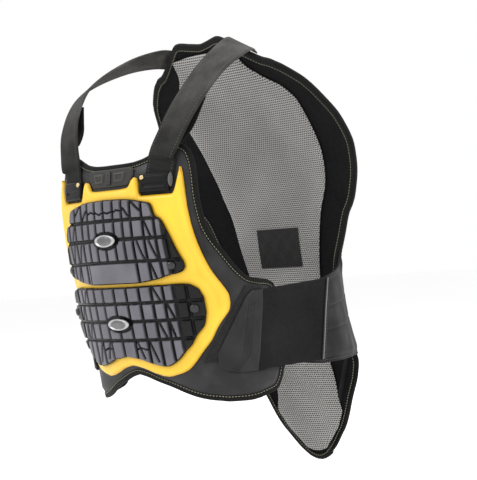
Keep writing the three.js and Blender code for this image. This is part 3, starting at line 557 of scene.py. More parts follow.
# Coated cloth: a smooth skin with fine pebbling and rubbed patches
pebble, given, gives = effect("pebble", ["Size"], ["Height", "Rubbed"])
grains = pebble.nodes.new("ShaderNodeTexVoronoi")
pebble.links.new(given["Pattern"], grains.inputs["Vector"])
pebble.links.new(calc(pebble, "DIVIDE", 1.0, given["Size"]), grains.inputs["Scale"])
pebble.links.new(grains.outputs["Distance"], gives["Height"])
pebble.links.new(mottling(pebble, given["Pattern"], 22.0, 0.4, 0.7, 6.0), gives["Rubbed"])


def coated(name, dark, light, roughness, size=0.0012, depth=0.00008, coat=0.0, shine=0.3):
    """Smooth coated or moulded stuff: fine pebbling, worn patches, soft shine."""
    made, tree, shader = finish(name, dark, roughness)
    shader.inputs["Specular IOR Level"].default_value = shine
    shader.inputs["Coat Weight"].default_value = coat
    shader.inputs["Coat Roughness"].default_value = 0.35
    skin = place_effect(tree, pebble, on_uv=False, Size=size)
    two_tones(tree, shader, skin["Rubbed"], dark, light)
    rougher(tree, shader, skin["Rubbed"], roughness + 0.06, roughness - 0.08)
    raised(tree, shader, skin["Height"], depth, 0.6)
    return made


laminate = coated("grey_laminate", (0.015, 0.015, 0.016), (0.030, 0.030, 0.032), 0.52, shine=0.24)
part_of(chest_panel, "chest_panel", laminate)

# Bindings. Black tape folded round the edges of the chest and back panels, sewn through with one
# row of pale thread.
TAPE_LAP = 0.0065
TAPE_WALL = 0.001
TAPE_OUT = 0.0031
STITCH_LENGTH = 0.0034
STITCH_PITCH = 0.0048
THREAD_RADIUS = 0.0007


def bound_edge(name, surface, loop, wall):
    """Tape folded over an edge: a ring primitive whose section is the fold, laid along the edge."""
    way = ways(loop)
    out = np.stack([way[:, 1], -way[:, 0]], axis=-1)
    top, low = wall + TAPE_WALL, -TAPE_WALL
    fold = [
        (-TAPE_LAP, top - 0.0002), (-TAPE_LAP * 0.5, top + 0.0002), (0.0006, top),
        (TAPE_OUT * 0.75, top - 0.0006), (TAPE_OUT, wall * 0.5), (TAPE_OUT * 0.75, low + 0.0006),
        (0.0006, low), (-TAPE_LAP * 0.5, low - 0.0002), (-TAPE_LAP, low + 0.0002), (-TAPE_LAP, -0.0001),
        (0.0004, -0.0001), (0.001, wall * 0.5), (0.0004, wall + 0.0001), (-TAPE_LAP, wall + 0.0001),
    ]
    bpy.ops.object.select_all(action="DESELECT")
    bpy.ops.mesh.primitive_torus_add(major_segments=len(loop), minor_segments=len(fold))
    tape = bpy.context.object
    tape.name = name
    tape.data.name = name
    points = np.zeros((len(loop), len(fold), 3))
    for k, (reach, height) in enumerate(fold):
        spot = loop + out * reach
        points[:, k] = over(surface, spot[:, 0], spot[:, 1], height)
    tape.data.vertices.foreach_set("co", points.astype(np.float32).ravel())
    bpy.ops.object.mode_set(mode="EDIT")
    bpy.ops.mesh.select_all(action="SELECT")
    bpy.ops.mesh.normals_make_consistent(inside=False)
    bpy.ops.object.mode_set(mode="OBJECT")
    smooth(tape, 60)
    return tape


def sew(name, points, normals, material, closed=True):
    """A row of stitches: one stitch is modelled, then copied along the seam."""
    bpy.ops.object.select_all(action="DESELECT")
    bpy.ops.mesh.primitive_uv_sphere_add(segments=6, ring_count=4, radius=1)
    row = bpy.context.object
    row.name = name
    row.data.name = name
    path = evenly(np.hstack([points, normals]), STITCH_PITCH, closed)
    spots, faces = path[:, :3], path[:, 3:]
    faces = faces / np.linalg.norm(faces, axis=1, keepdims=True)
    along = ways(spots, closed)
    side = np.cross(faces, along)
    one = np.empty(len(row.data.vertices) * 3)
    row.data.vertices.foreach_get("co", one)
    one = one.reshape(-1, 3)
    shape = one[:, [2, 0, 1]] * (STITCH_LENGTH / 2, THREAD_RADIUS, THREAD_RADIUS)
    frames = np.stack([along, side, faces], axis=1)
    spread = spots[:, None, :] + np.einsum("vk,nkc->nvc", shape, frames)
    ring = [list(face.vertices) for face in row.data.polygons]
    count = len(one)
    every = [[k * count + n for n in face] for k in range(len(spots)) for face in ring]
    row.data.clear_geometry()
    row.data.from_pydata(spread.reshape(-1, 3).tolist(), [], every)
    row.data.update()
    bpy.ops.object.mode_set(mode="EDIT")
    bpy.ops.mesh.select_all(action="SELECT")
    bpy.ops.mesh.normals_make_consistent(inside=False)
    bpy.ops.object.mode_set(mode="OBJECT")
    smooth(row, 60)
    part_of(row, None, material)
    return row


tape_black = cloth(
    "binding_tape", (0.004, 0.004, 0.004), (0.013, 0.013, 0.012), 0.0011, 0.7, 0.03, shine=0.08,
)
thread_olive = cloth("olive_thread", (0.16, 0.155, 0.1), (0.27, 0.26, 0.18), 0.0004, roughness=0.6)
for name, node, surface, loop, wall in [
    ("chest_bound_edge", "chest_binding", torso, chest_outline, CHEST_EDGE_WALL),
    ("back_bound_edge", "back_binding", back, back_outline, BACK_EDGE_WALL),
]:
    tape = bound_edge(name, surface, loop, wall)
    part_of(tape, node, tape_black)
    seam = inside(loop, TAPE_LAP - 0.002)
    facing = outward(surface, seam[:, 0], seam[:, 1])
    for side, height, sign in [("outer", wall + TAPE_WALL + 0.0002, 1), ("inner", -TAPE_WALL - 0.0002, -1)]:
        line = over(surface, seam[:, 0], seam[:, 1], height)
        sew(f"{name}_{side}_stitches", line, sign * facing, thread_olive)

# Yellow frame. One moulded foam part on the chest panel that holds the two ribbed plates. Its
# edges are rounded, it has a low bead beside each plate and shallow pressed corners.
FRAME_REACH = 0.17
FRAME_LOW = 0.0096
FRAME_WALL = 0.0077
FRAME_TOP = [
    (0, 0.34), (0.12, 0.34), (0.24, 0.338), (0.28, 0.322), (0.315, 0.317), (0.345, 0.327), (0.37, 0.358),
    (0.46, 0.358), (0.55, 0.358), (0.625, 0.358), (0.7, 0.358), (0.74, 0.33), (0.775, 0.303), (0.8, 0.34),
    (0.82, 0.415), (0.845, 0.458), (0.9, 0.522), (0.95, 0.552), (0.985, 0.572), (1, 0.583),
]
FRAME_FOOT = [
    (0, 0.733), (0.12, 0.74), (0.24, 0.752), (0.28, 0.755), (0.315, 0.758), (0.345, 0.759), (0.37, 0.76),
    (0.46, 0.756), (0.55, 0.748), (0.625, 0.732), (0.7, 0.711), (0.74, 0.7), (0.775, 0.691), (0.8, 0.684),
    (0.82, 0.677), (0.845, 0.667), (0.9, 0.646), (0.95, 0.63), (0.985, 0.617), (1, 0.603),
]
UPPER_REACH = 0.122
UPPER_TOP = [
    (0, 0.361), (0.33, 0.363), (0.58, 0.37), (0.69, 0.375), (0.74, 0.402), (0.8, 0.408), (0.89, 0.444),
    (0.96, 0.482), (1, 0.502),
]
UPPER_FOOT = [
    (0, 0.546), (0.33, 0.546), (0.58, 0.541), (0.69, 0.537), (0.74, 0.534), (0.8, 0.531), (0.89, 0.528),
    (0.96, 0.524), (1, 0.515),
]
LOWER_REACH = 0.139
LOWER_TOP = [
    (0, 0.5535), (0.2, 0.5535), (0.33, 0.553), (0.49, 0.552), (0.63, 0.552), (0.72, 0.551), (0.79, 0.551),
    (0.86, 0.552), (0.96, 0.563), (1, 0.585),
]
LOWER_FOOT = [
    (0, 0.71), (0.2, 0.717), (0.33, 0.727), (0.49, 0.734), (0.63, 0.72), (0.72, 0.701), (0.79, 0.688),
    (0.86, 0.668), (0.96, 0.645), (1, 0.618),
]


def frame_place(u, v):
    return chest_place(u, v, FRAME_TOP, FRAME_FOOT, FRAME_REACH)


def upper_place(u, v):
    return chest_place(u, v, UPPER_TOP, UPPER_FOOT, UPPER_REACH)


def lower_place(u, v):
    return chest_place(u, v, LOWER_TOP, LOWER_FOOT, LOWER_REACH)


frame_outline = evenly(outline(frame_place, 120), 0.004)
upper_outline = evenly(outline(upper_place), 0.004)
lower_outline = evenly(outline(lower_place), 0.004)


def within(spots, loop):
    """Whether each spot lies inside a closed path."""
    found = np.zeros(len(spots), dtype=bool)
    ends = np.roll(loop, -1, axis=0)
    for (x0, y0), (x1, y1) in zip(loop, ends):
        if y0 == y1:
            continue
        spans = (y0 > spots[:, 1]) != (y1 > spots[:, 1])
        cross = x0 + (spots[:, 1] - y0) * (x1 - x0) / (y1 - y0)
        found ^= spans & (spots[:, 0] < cross)
    return found


moulding, u, v = cut_flat("yellow_moulding", 160, 100)
s, z = frame_place(u, v)
spots = np.stack([s, z], axis=-1)
rim = from_edge(spots, frame_outline)
beside = np.minimum(from_edge(spots, upper_outline), from_edge(spots, lower_outline))
under = within(spots, upper_outline) | within(spots, lower_outline)
rolled = 0.35 + 0.65 * np.sqrt(np.clip(rim / 0.009, 0, 1) * (2 - np.clip(rim / 0.009, 0, 1)))
bead = 0.1 * np.exp(-((beside - 0.0035) / 0.0022) ** 2) * ~under
dish = 0.16 * eased(beside, 0.008, 0.02) * eased(rim, 0.006, 0.016) * ~under
bend(moulding, over(torso, s, z, FRAME_LOW), s, z)
thicken(moulding, FRAME_WALL, np.where(under, 0.86, np.minimum(rolled, 0.9 + bead - dish)))
smooth(moulding, 50)
# Painted shade: the yellow is darker near its outer edge, beside the two plates, and in the pressed corners
# towards the sides.
frame_shading = (0.35 + 0.65 * eased(rim, 0.0005, 0.005)) * (0.7 + 0.3 * eased(beside, 0.001, 0.01))
paint(moulding, frame_shading * (1 - 0.4 * eased(np.abs(u), 0.55, 1) * eased(dish, 0.02, 0.16)))

yellow, tree, shader = finish("yellow_foam", (0.86, 0.56, 0.025), 0.42)
shader.inputs["Coat Weight"].default_value = 0.25
shader.inputs["Coat Roughness"].default_value = 0.3
shader.inputs["Specular IOR Level"].default_value = 0.35
wear_and_shade = place_effect(tree, patches, on_uv=False, Scale=11.0)
skin = place_effect(tree, pebble, on_uv=False, Size=0.0009)
# The kept tone is painted shade; the cloudy rubbed patches over it are the foam's own.
pale = calc(tree, "MULTIPLY", painted(tree), calc(tree, "MULTIPLY_ADD", wear_and_shade["Mask"], 0.3, 0.7))
two_tones(tree, shader, pale, (0.60, 0.32, 0.008), (0.80, 0.52, 0.028))
rougher(tree, shader, wear_and_shade["Fine"], 0.36, 0.52)
raised(tree, shader, skin["Height"], 0.00005, 0.5)
part_of(moulding, "chest_frame", yellow)

# Ribbed plates. Two rubber plates of tapered blocks on a thin base. The grooves run round and up,
# slanted cuts cross the outer blocks, and short bent cuts cross the top row.
PLATE_LOW = 0.0182
PLATE_BASE = 0.0026
BLOCK_RISE = 0.0046
GROOVE_HALF = 0.0023
UPPER_OVAL_DOWN = 0.449
LOWER_OVAL_DOWN = 0.634
OVAL_CLEARING = (0.0232, 0.0112)
UPPER_ROUND = [0.406, 0.448, 0.4955]
UPPER_UP = [0, 0.156, 0.295, 0.426, 0.582, 0.738, 0.87]
LOWER_ROUND = [0.589, 0.629, 0.671]
LOWER_UP = [0, 0.173, 0.331, 0.475, 0.604, 0.719, 0.85]
# One wide block at the foot of the upper plate is smooth: its left, right, top and bottom
SMOOTH_BLOCK = (-0.38, 0.426, 0.4955, 0.56)
NO_SMOOTH_BLOCK = (0, 0, 0, 0)
# Cuts as (across, down) to (across, down), across as a share of the plate's reach
UPPER_CUTS = [
    ((0.6, 0.406), (0.68, 0.448)), ((0.47, 0.448), (0.55, 0.4955)), ((0.63, 0.448), (0.72, 0.4955)),
    ((0.33, 0.382), (0.4, 0.4)), ((0.46, 0.371), (0.56, 0.388)), ((0.6, 0.4955), (0.66, 0.54)),
]
UPPER_BENT = [
    ((0.0, 0.386), (0.07, 0.39), (0.15, 0.386)), ((0.16, 0.39), (0.22, 0.384), (0.29, 0.387)),
    ((-0.3, 0.39), (-0.22, 0.384), (-0.16, 0.39)), ((-0.14, 0.386), (-0.07, 0.392), (0.0, 0.386)),
]
LOWER_CUTS = [
    ((0.5, 0.555), (0.57, 0.589)), ((0.62, 0.589), (0.69, 0.629)), ((0.5, 0.629), (0.57, 0.671)),
    ((0.35, 0.671), (0.42, 0.72)), ((0.2, 0.671), (0.26, 0.712)), ((0.62, 0.629), (0.66, 0.671)),
]
LOWER_BENT = [
    ((0.18, 0.692), (0.24, 0.688), (0.32, 0.694)), ((-0.32, 0.694), (-0.24, 0.688), (-0.18, 0.692)),
]


def from_line(spots, ends):
    """Distance of each spot from an open line of points."""
    least = np.full(len(spots), 1.0)
    for start, end in zip(ends[:-1], ends[1:]):
        run = end - start
        share = np.clip(((spots - start) @ run) / (run @ run), 0, 1)
        least = np.minimum(least, np.linalg.norm(spots - start - share[:, None] * run, axis=1))
    return least


def ribbed_plate(name, place, edge, reach, rounds, ups, cuts, bents, oval, smooth_block, dark_from):
    plate, u, v = cut_flat(name, 236, 112)
    s, z = place(u, v)
    spots = np.stack([s, z], axis=-1)
    rim = from_edge(spots, edge)
    down = -z / BODY_HEIGHT
    groove = np.min([np.abs(down - line) * BODY_HEIGHT for line in rounds], axis=0)
    up_line = np.min([np.abs(np.abs(s) - line * reach) for line in ups], axis=0)
    left, right, high, low = smooth_block
    in_block = (s > left * reach) & (s < right * reach) & (down > high) & (down < low)
    around = np.minimum(np.minimum(s - left * reach, right * reach - s), (down - high) * BODY_HEIGHT)
    up_line = np.where(in_block, np.maximum(around, 0), up_line)
    groove = np.minimum(groove, up_line)
    for line in cuts + bents:
        points = np.array([(across * reach, -fall * BODY_HEIGHT) for across, fall in line])
        width = 0.45 if line in bents else 0.75
        for sign in (1, -1) if line in cuts else (1,):
            gap = from_line(spots, points * (sign, 1))
            groove = np.minimum(groove, np.where(in_block, 1, gap + GROOVE_HALF * (1 - width)))
    far, tall = OVAL_CLEARING
    ring = np.hypot(s / far, (z + oval * BODY_HEIGHT) / tall)
    groove = np.where(ring < 1, 0, np.minimum(groove, (ring - 1) * tall + GROOVE_HALF * 0.3))
    lug = eased(np.abs(s) / reach, ups[-1] - 0.01, ups[-1] + 0.02) * 0.25
    blocks = eased(np.minimum(groove, rim + GROOVE_HALF * 0.4), GROOVE_HALF * 0.7, GROOVE_HALF * 1.3)
    height = PLATE_BASE + BLOCK_RISE * blocks * (1 - lug)
    bend(plate, over(torso, s, z, PLATE_LOW), s, z)
    thicken(plate, PLATE_BASE + BLOCK_RISE, height / (PLATE_BASE + BLOCK_RISE))
    smooth(plate, 60)
    # Painted shade: the grooves are painted near black; the outermost columns are darker as well.
    groove_shade_and_dark_ends = blocks * (1 - 0.85 * eased(np.abs(s) / reach, dark_from - 0.01, dark_from + 0.01))
    paint(plate, groove_shade_and_dark_ends * groove_shade_and_dark_ends)
    return plate


rubber, tree, shader = finish("block_rubber", (0.11, 0.106, 0.122), 0.38)
shader.inputs["Coat Weight"].default_value = 0.05
shader.inputs["Coat Roughness"].default_value = 0.25
shader.inputs["Specular IOR Level"].default_value = 0.17
skin = place_effect(tree, pebble, on_uv=False, Size=0.0008)
# The kept tone paints shade into the grooves and darkens the outer columns; the rubbed patches are the
# rubber's own.
face = calc(tree, "MULTIPLY", painted(tree), calc(tree, "MULTIPLY_ADD", skin["Rubbed"], 0.25, 0.75))
two_tones(tree, shader, face, (0.0025, 0.0025, 0.003), (0.134, 0.13, 0.148))
rougher(tree, shader, skin["Rubbed"], 0.44, 0.3)
raised(tree, shader, skin["Height"], 0.00005, 0.5)
upper_blocks = ribbed_plate(
    "upper_blocks", upper_place, upper_outline, UPPER_REACH, UPPER_ROUND, UPPER_UP, UPPER_CUTS,
    UPPER_BENT, UPPER_OVAL_DOWN, SMOOTH_BLOCK, 0.815,
)
lower_blocks = ribbed_plate(
    "lower_blocks", lower_place, lower_outline, LOWER_REACH, LOWER_ROUND, LOWER_UP, LOWER_CUTS,
    LOWER_BENT, LOWER_OVAL_DOWN, NO_SMOOTH_BLOCK, 0.719,
)
part_of(upper_blocks, "upper_tread", rubber)
part_of(lower_blocks, "lower_tread", rubber)

# Ovals, studs and rivets. Two plain satin ovals stand in the middle of the plates, four black studs
# at their ends, and a small gilt rivet on each buckle.


def button(name, s, z, low, radius, tall, rise, profile, count):
    """A round or oval button on the chest, its height told from the middle to the edge."""
    piece, u, v = cut_flat(name, count, count)
    w = 2 * v - 1
    across = u * np.sqrt(1 - w * w / 2)
    up = w * np.sqrt(1 - u * u / 2)
    bend(piece, over(torso, s + across * radius, z + up * radius * tall, low), across * radius, up * radius)
    thicken(piece, rise, read(profile, np.hypot(across, up)))
    smooth(piece, 50)
    paint(piece, 0.25 + 0.75 * eased(np.hypot(across, up), 0.66, 0.78))
    return piece


def mirrored(piece):
    """The same piece for the wearer's right."""
    twin = piece.copy()
    twin.data = piece.data.copy()
    twin.name = piece.name.replace("_left", "_right")
    twin.data.name = twin.name
    bpy.context.collection.objects.link(twin)
    twin.data.transform(Matrix.Scale(-1, 4, (1, 0, 0)))
    twin.data.flip_normals()
    return twin


def both_sides(piece, node, material):
    """Fits a left piece and its mirrored copy."""
    twin = mirrored(piece)
    for made, side in ((piece, "left"), (twin, "right")):
        part_of(made, f"{node}_{side}" if node else None, material)
    return piece, twin


PLATE_TOP = 0.0257
OVAL_FORM = [
    (0, 0.84), (0.4, 0.8), (0.62, 0.62), (0.7, 0.56), (0.76, 0.7), (0.84, 1), (0.92, 0.94), (1, 0.45),
]
STUD_FORM = [(0, 1), (0.5, 0.94), (0.78, 0.72), (0.92, 0.5), (1, 0.25)]
RIVET_FORM = [(0, 0.7), (0.25, 0.72), (0.42, 0.97), (0.6, 0.95), (0.85, 0.68), (1, 0.25)]
satin_metal, tree, shader = finish("satin_oval", (0.34, 0.34, 0.35), 0.3)
shader.inputs["Metallic"].default_value = 0.75
marks = place_effect(tree, patches, on_uv=False, Scale=60.0)
rim_tone = calc(tree, "MULTIPLY", painted(tree), calc(tree, "MULTIPLY_ADD", marks["Mask"], 0.25, 0.75))
two_tones(tree, shader, rim_tone, (0.05, 0.05, 0.052), (0.46, 0.46, 0.465))
rougher(tree, shader, marks["Fine"], 0.24, 0.4)
black_stud = coated("black_stud", (0.008, 0.008, 0.009), (0.018, 0.018, 0.02), 0.34, 0.0006, 0.00003, 0.3)
gilt, tree, shader = finish("gilt_metal", (0.55, 0.44, 0.22), 0.28)
shader.inputs["Metallic"].default_value = 1.0
marks = place_effect(tree, patches, on_uv=False, Scale=90.0)
two_tones(tree, shader, marks["Mask"], (0.42, 0.33, 0.16), (0.66, 0.54, 0.30))
rougher(tree, shader, marks["Fine"], 0.2, 0.38)
for name, node, down in [
    ("upper_dome", "upper_oval", UPPER_OVAL_DOWN), ("lower_dome", "lower_oval", LOWER_OVAL_DOWN),
]:
    dome = button(name, 0, -BODY_HEIGHT * down, PLATE_TOP, 0.0205, 0.42, 0.003, OVAL_FORM, 56)
    part_of(dome, node, satin_metal)
for name, node, s, down in [
    ("upper_knob_left", "upper_stud", 0.86 * UPPER_REACH, 0.508),
    ("lower_knob_left", "lower_stud", 0.9 * LOWER_REACH, 0.607),
]:
    knob = button(name, s, -BODY_HEIGHT * down, PLATE_TOP, 0.006, 1, 0.0032, STUD_FORM, 26)
    both_sides(knob, node, black_stud)

# Neck guard. A stiff black panel under the neckline with two raised pads, each with a sunk middle,
# and a ribbed strip between them.
GUARD_REACH = 0.048
GUARD_TOP = [(0, 0.293), (0.75, 0.292), (1, 0.295)]
GUARD_FOOT = [(0, 0.332), (0.75, 0.331), (1, 0.312)]
GUARD_LOW = 0.0089
GUARD_WALL = 0.0027
PAD_RISE = 0.002
guard, u, v = cut_flat("neck_panel", 150, 48)
s, z = chest_place(u, v, GUARD_TOP, GUARD_FOOT, GUARD_REACH)
guard_outline = evenly(outline(lambda a, b: chest_place(a, b, GUARD_TOP, GUARD_FOOT, GUARD_REACH), 40), 0.002)
rim = from_edge(np.stack([s, z], axis=-1), guard_outline)
low, high = -0.3235 * BODY_HEIGHT, -0.3015 * BODY_HEIGHT
slant = 0.0042 * np.clip((high - z) / (high - low), 0, 1)
reach_in = np.minimum(np.abs(s) - 0.0108 - slant * 0.5, 0.0342 - slant - np.abs(s))
reach_in = np.minimum(reach_in, np.minimum(z - low, high - z))
pad = eased(reach_in, 0, 0.0012) - 0.55 * eased(reach_in, 0.0028, 0.004)
whole = GUARD_WALL + PAD_RISE
bend(guard, over(torso, s, z, GUARD_LOW), s, z)
thicken(guard, whole, (GUARD_WALL * (0.6 + 0.4 * eased(rim, 0.0002, 0.0016)) + PAD_RISE * pad) / whole)
smooth(guard, 50)
# Painted highlight: the guard is lighter on the raised lips of its pads and along its outer edge.
lip_highlight = eased(reach_in, -0.0006, 0.0004) * (1 - eased(reach_in, 0.0026, 0.0036))
paint(guard, 0.22 + 0.45 * lip_highlight + 0.35 * (1 - eased(rim, 0.0004, 0.0016)))
guard_black, tree, shader = finish("guard_rubber", (0.02, 0.02, 0.02), 0.5)
shader.inputs["Specular IOR Level"].default_value = 0.25
skin = place_effect(tree, pebble, on_uv=False, Size=0.0007)
two_tones(tree, shader, painted(tree), (0.009, 0.009, 0.009), (0.062, 0.06, 0.052))
rougher(tree, shader, skin["Rubbed"], 0.54, 0.42)
raised(tree, shader, skin["Height"], 0.00005, 0.6)
part_of(guard, "neck_guard", guard_black)
strip, u, v = cut_flat("ribbed_strip", 16, 96)
s, z = u * 0.005, -BODY_HEIGHT * (0.327 - 0.028 * v)
bend(strip, over(torso, s, z, GUARD_LOW + GUARD_WALL + 0.0003), s, z)
ribs = 0.62 + 0.38 * np.abs(np.sin(math.pi * z / 0.0024)) * eased(0.005 - np.abs(s), 0, 0.0012)
thicken(strip, PAD_RISE, ribs)
smooth(strip, 50)
strip_black = coated("strip_rubber", (0.007, 0.007, 0.008), (0.016, 0.016, 0.017), 0.4, 0.0005, 0.00003, 0.2)
part_of(strip, "neck_strip", strip_black)

# Shoulder straps. Padded webbing from the buckles over each shoulder to the top of the back, with
# a second layer stitched under it on the outer side.
STRAP_SPREAD = 0.142
STRAP_WIDTH = 0.048
STRAP_WALL = 0.003
STRAP_HEIGHT = 0.0101
UNDER_WIDTH = 0.046
UNDER_WALL = 0.0024
UNDER_SINK = 0.0036
UNDER_SLACK = 0.009
UNDER_FROM = 0.5
UNDER_TO = 18 / 28
# Foot on the chest: heights and places round from the middle
STRAP_FOOT = [(0.338, 0.37), (0.322, 0.379), (0.306, 0.388), (0.288, 0.399)]
# Places across, forward and down, and how far across the point is that the strap faces away from
STRAP_RUN = [
    (0.727, 0.905, 0.272, 0.55), (0.8, 0.87, 0.235, 0.55), (0.91, 0.78, 0.173, 0.55),
    (0.99, 0.56, 0.092, 0.5), (0.86, 0.19, 0.032, 0.1), (0.66, -0.05, 0.0145, -0.34),
    (0.575, -0.14, 0.0175, -0.34),
]
foot = np.array([-BODY_HEIGHT * down for down, side in STRAP_FOOT])
beside = np.array([WING_REACH * side for down, side in STRAP_FOOT])
strap_line = [over(torso, beside, foot, STRAP_HEIGHT)]
strap_faces = [outward(torso, beside, foot)]
for across, forward, down, facing in STRAP_RUN:
    spot = np.array([across * STRAP_SPREAD, -forward * CHEST_DEPTH, -down * BODY_HEIGHT])
    away = spot - np.array([facing * STRAP_SPREAD, 0, foot[0]])
    strap_line.append(spot[None])
    strap_faces.append(away[None] / np.linalg.norm(away))
strap_line = np.vstack(strap_line)
strap_faces = np.vstack(strap_faces)


def curve(points, at):
    """Smooth curve through stations, read at shares of their count."""
    every = np.vstack([2 * points[0] - points[1], points, 2 * points[-1] - points[-2]])
    place = np.clip(at, 0, 1) * (len(points) - 1)
    i = np.clip(np.floor(place).astype(int), 0, len(points) - 2)
    t = (place - i)[:, None]
    p0, p1, p2, p3 = (every[i + k] for k in range(4))
    spans = (p1 - p0, p2 - p1, p3 - p2)
    d0, d1, d2 = (np.sum(span ** 2, axis=1, keepdims=True) ** 0.25 for span in spans)
    m1 = ((p1 - p0) / d0 - (p2 - p0) / (d0 + d1) + (p2 - p1) / d1) * d1
    m2 = ((p2 - p1) / d1 - (p3 - p1) / (d1 + d2) + (p3 - p2) / d2) * d1
    rise = (3 - 2 * t) * t * t
    return p1 * (1 - rise) + p2 * rise + t * (1 - t) * ((1 - t) * m1 - t * m2)


def along_strap(at, aside, height):
    """Points beside the middle of the left strap and off it, with the way that it faces there."""
    step = 0.0004
    way = curve(strap_line, at + step) - curve(strap_line, at - step)
    way /= np.linalg.norm(way, axis=1, keepdims=True)
    face = curve(strap_faces, at)
    side = np.cross(way, face)
    side /= np.linalg.norm(side, axis=1, keepdims=True)
    face = np.cross(side, way)
    aside, height = np.broadcast_to(aside, np.shape(at)), np.broadcast_to(height, np.shape(at))
    return curve(strap_line, at) + side * aside[:, None] + face * height[:, None], face


def webbing(name, width, wall, sink, slack, start, end, rows):
    """One layer of the left strap."""
    band, u, v = cut_flat(name, 26, rows)
    at = start + (end - start) * v
    points, face = along_strap(at, u * width / 2, -wall / 2 - sink - slack * np.sin(math.pi * v))
    bend(band, points, u * width / 2, v * 0.45 * (end - start))
    inset = width / 2 * (1 - np.abs(u))
    seam = 0.14 * np.exp(-((inset - 0.0045) / 0.0009) ** 2)
    thicken(band, wall, 0.6 + 0.4 * eased(inset, 0, 0.0022) - seam)
    smooth(band, 60)
    return band


strap_grey, tree, shader = finish("strap_webbing", (0.03, 0.03, 0.03), 0.76)
shader.inputs["Specular IOR Level"].default_value = 0.14
worn = place_effect(tree, patches, Scale=38.0)
broad = place_effect(tree, patches, Scale=13.0)
threads = place_effect(tree, weave, Thread=0.0011)["Height"]
wear_and_shade = calc(tree, "MULTIPLY_ADD", worn["Mask"], 0.5, calc(tree, "MULTIPLY", broad["Mask"], 0.5))
# Painted shade: the kept tone darkens the strap towards its lower end, under the cloudy rubbed patches.
wear_and_shade = calc(tree, "MULTIPLY", calc(tree, "MULTIPLY_ADD", wear_and_shade, 0.75, 0.25), painted(tree))
two_tones(tree, shader, wear_and_shade, (0.003, 0.003, 0.003), (0.088, 0.086, 0.081))
rougher(tree, shader, worn["Fine"], 0.68, 0.88)
raised(tree, shader, threads, 0.0003, 0.7)
under_black = cloth(
    "under_webbing", (0.004, 0.004, 0.004), (0.011, 0.011, 0.011), 0.001, 0.7, 0.03, shine=0.08,
)
thread_dark = cloth("dark_thread", (0.03, 0.03, 0.03), (0.07, 0.07, 0.068), 0.0004, roughness=0.6)
strap = webbing("shoulder_strap_left", STRAP_WIDTH, STRAP_WALL, 0, 0, 0, 1, 160)
count = len(strap.data.vertices)
places = np.empty(count * 3)
strap.data.vertices.foreach_get("co", places)
# Painted light: the strap is lighter high on the shoulder and darker towards its lower end.
paint(strap, 0.18 + 0.82 * eased(places.reshape(-1, 3)[:, 2], -0.2, -0.03))
both_sides(strap, "strap", strap_grey)
under = webbing(
    "under_strap_left", UNDER_WIDTH, UNDER_WALL, UNDER_SINK, UNDER_SLACK, UNDER_FROM, UNDER_TO, 60,
)
both_sides(under, "strap_return", under_black)
at = np.linspace(0.12, 0.985, 260)
for number, aside in enumerate((0.0195, -0.0195)):
    points, face = along_strap(at, aside, STRAP_WALL * 0.36)
    for side, sign in (("left", 1), ("right", -1)):
        flip = np.array([sign, 1, 1])
        sew(f"strap_stitches_{number}_{side}", points * flip, face * flip, thread_dark, closed=False)

# Buckles. Black moulded plates over the strap ends with a shallow finger recess, a gilt rivet and
# the rolled end of the webbing beside them.
BUCKLE_SIDE = 0.089
BUCKLE_Z = -0.333 * BODY_HEIGHT
BUCKLE_LOW = 0.0128
BUCKLE_WALL = 0.004
BUCKLE_WIDTH = 0.05
BUCKLE_TALL = 0.027
RECESS_WIDTH = 0.036
RECESS_TALL = 0.006
plate, u, v = cut_flat("buckle_plate_left", 90, 50)
across, up = u * BUCKLE_WIDTH / 2, (v - 0.5) * BUCKLE_TALL
bend(plate, over(torso, BUCKLE_SIDE + across, BUCKLE_Z + up, BUCKLE_LOW), across, up)
rim = np.minimum(BUCKLE_WIDTH / 2 - np.abs(across), BUCKLE_TALL / 2 - np.abs(up))
recess = np.minimum(RECESS_WIDTH / 2 - np.abs(across), np.minimum(up + RECESS_TALL, -up))
ridge = 0.06 * np.exp(-((rim - 0.0032) / 0.0006) ** 2)
thicken(plate, BUCKLE_WALL, 0.6 + 0.4 * eased(rim, 0, 0.002) - 0.3 * eased(recess, 0, 0.0012) - ridge)
smooth(plate, 50)
buckle_black = coated(
    "buckle_plastic", (0.002, 0.002, 0.0022), (0.004, 0.004, 0.0045), 0.36, 0.0008, 0.00002, shine=0.14,
)
both_sides(plate, "buckle", buckle_black)
rivet = button(
    "rivet_head_left", BUCKLE_SIDE - 0.019, BUCKLE_Z + 0.0085, 0.0171, 0.0036, 1, 0.0024, RIVET_FORM, 26,
)
both_sides(rivet, "buckle_rivet", gilt)
roll = button(
    "webbing_roll_left", BUCKLE_SIDE + 0.0268, BUCKLE_Z + 0.003, 0.0122, 0.0034, 2.9, 0.0046, STUD_FORM, 26,
)
roll_grey = cloth("rolled_webbing", (0.05, 0.05, 0.052), (0.12, 0.12, 0.122), 0.0009, roughness=0.6)
both_sides(roll, None, roll_grey)

# Belt fronts. A brushed loop patch is sewn on each front wing. Over it lies a moulded rubber tab with
# three lines pressed in near its back edge and a long sunk area along its front edge.
TAB_FRONT = [
    (0.58, 0.805), (0.59, 0.772), (0.612, 0.732), (0.654, 0.664), (0.697, 0.596), (0.719, 0.565),
    (0.739, 0.565), (0.75, 0.6), (0.758, 0.67),
]
TAB_BACK = [
    (0.58, 0.876), (0.59, 0.868), (0.612, 0.856), (0.654, 0.827), (0.697, 0.797), (0.719, 0.783),
    (0.739, 0.768), (0.75, 0.761), (0.758, 0.755),
]
TAB_ENDS = (0.758, 0.58)
TAB_LOW = 0.0112
TAB_WALL = 0.003
PATCH_ENDS = (0.733, 0.567)
PATCH_FRONT = (0.475, 0.776)
PATCH_LOW = 0.0089
PATCH_WALL = 0.0014


def between(ends, share):
    """Value on the way from the first to the second of two."""
    return ends[0] + (ends[1] - ends[0]) * share


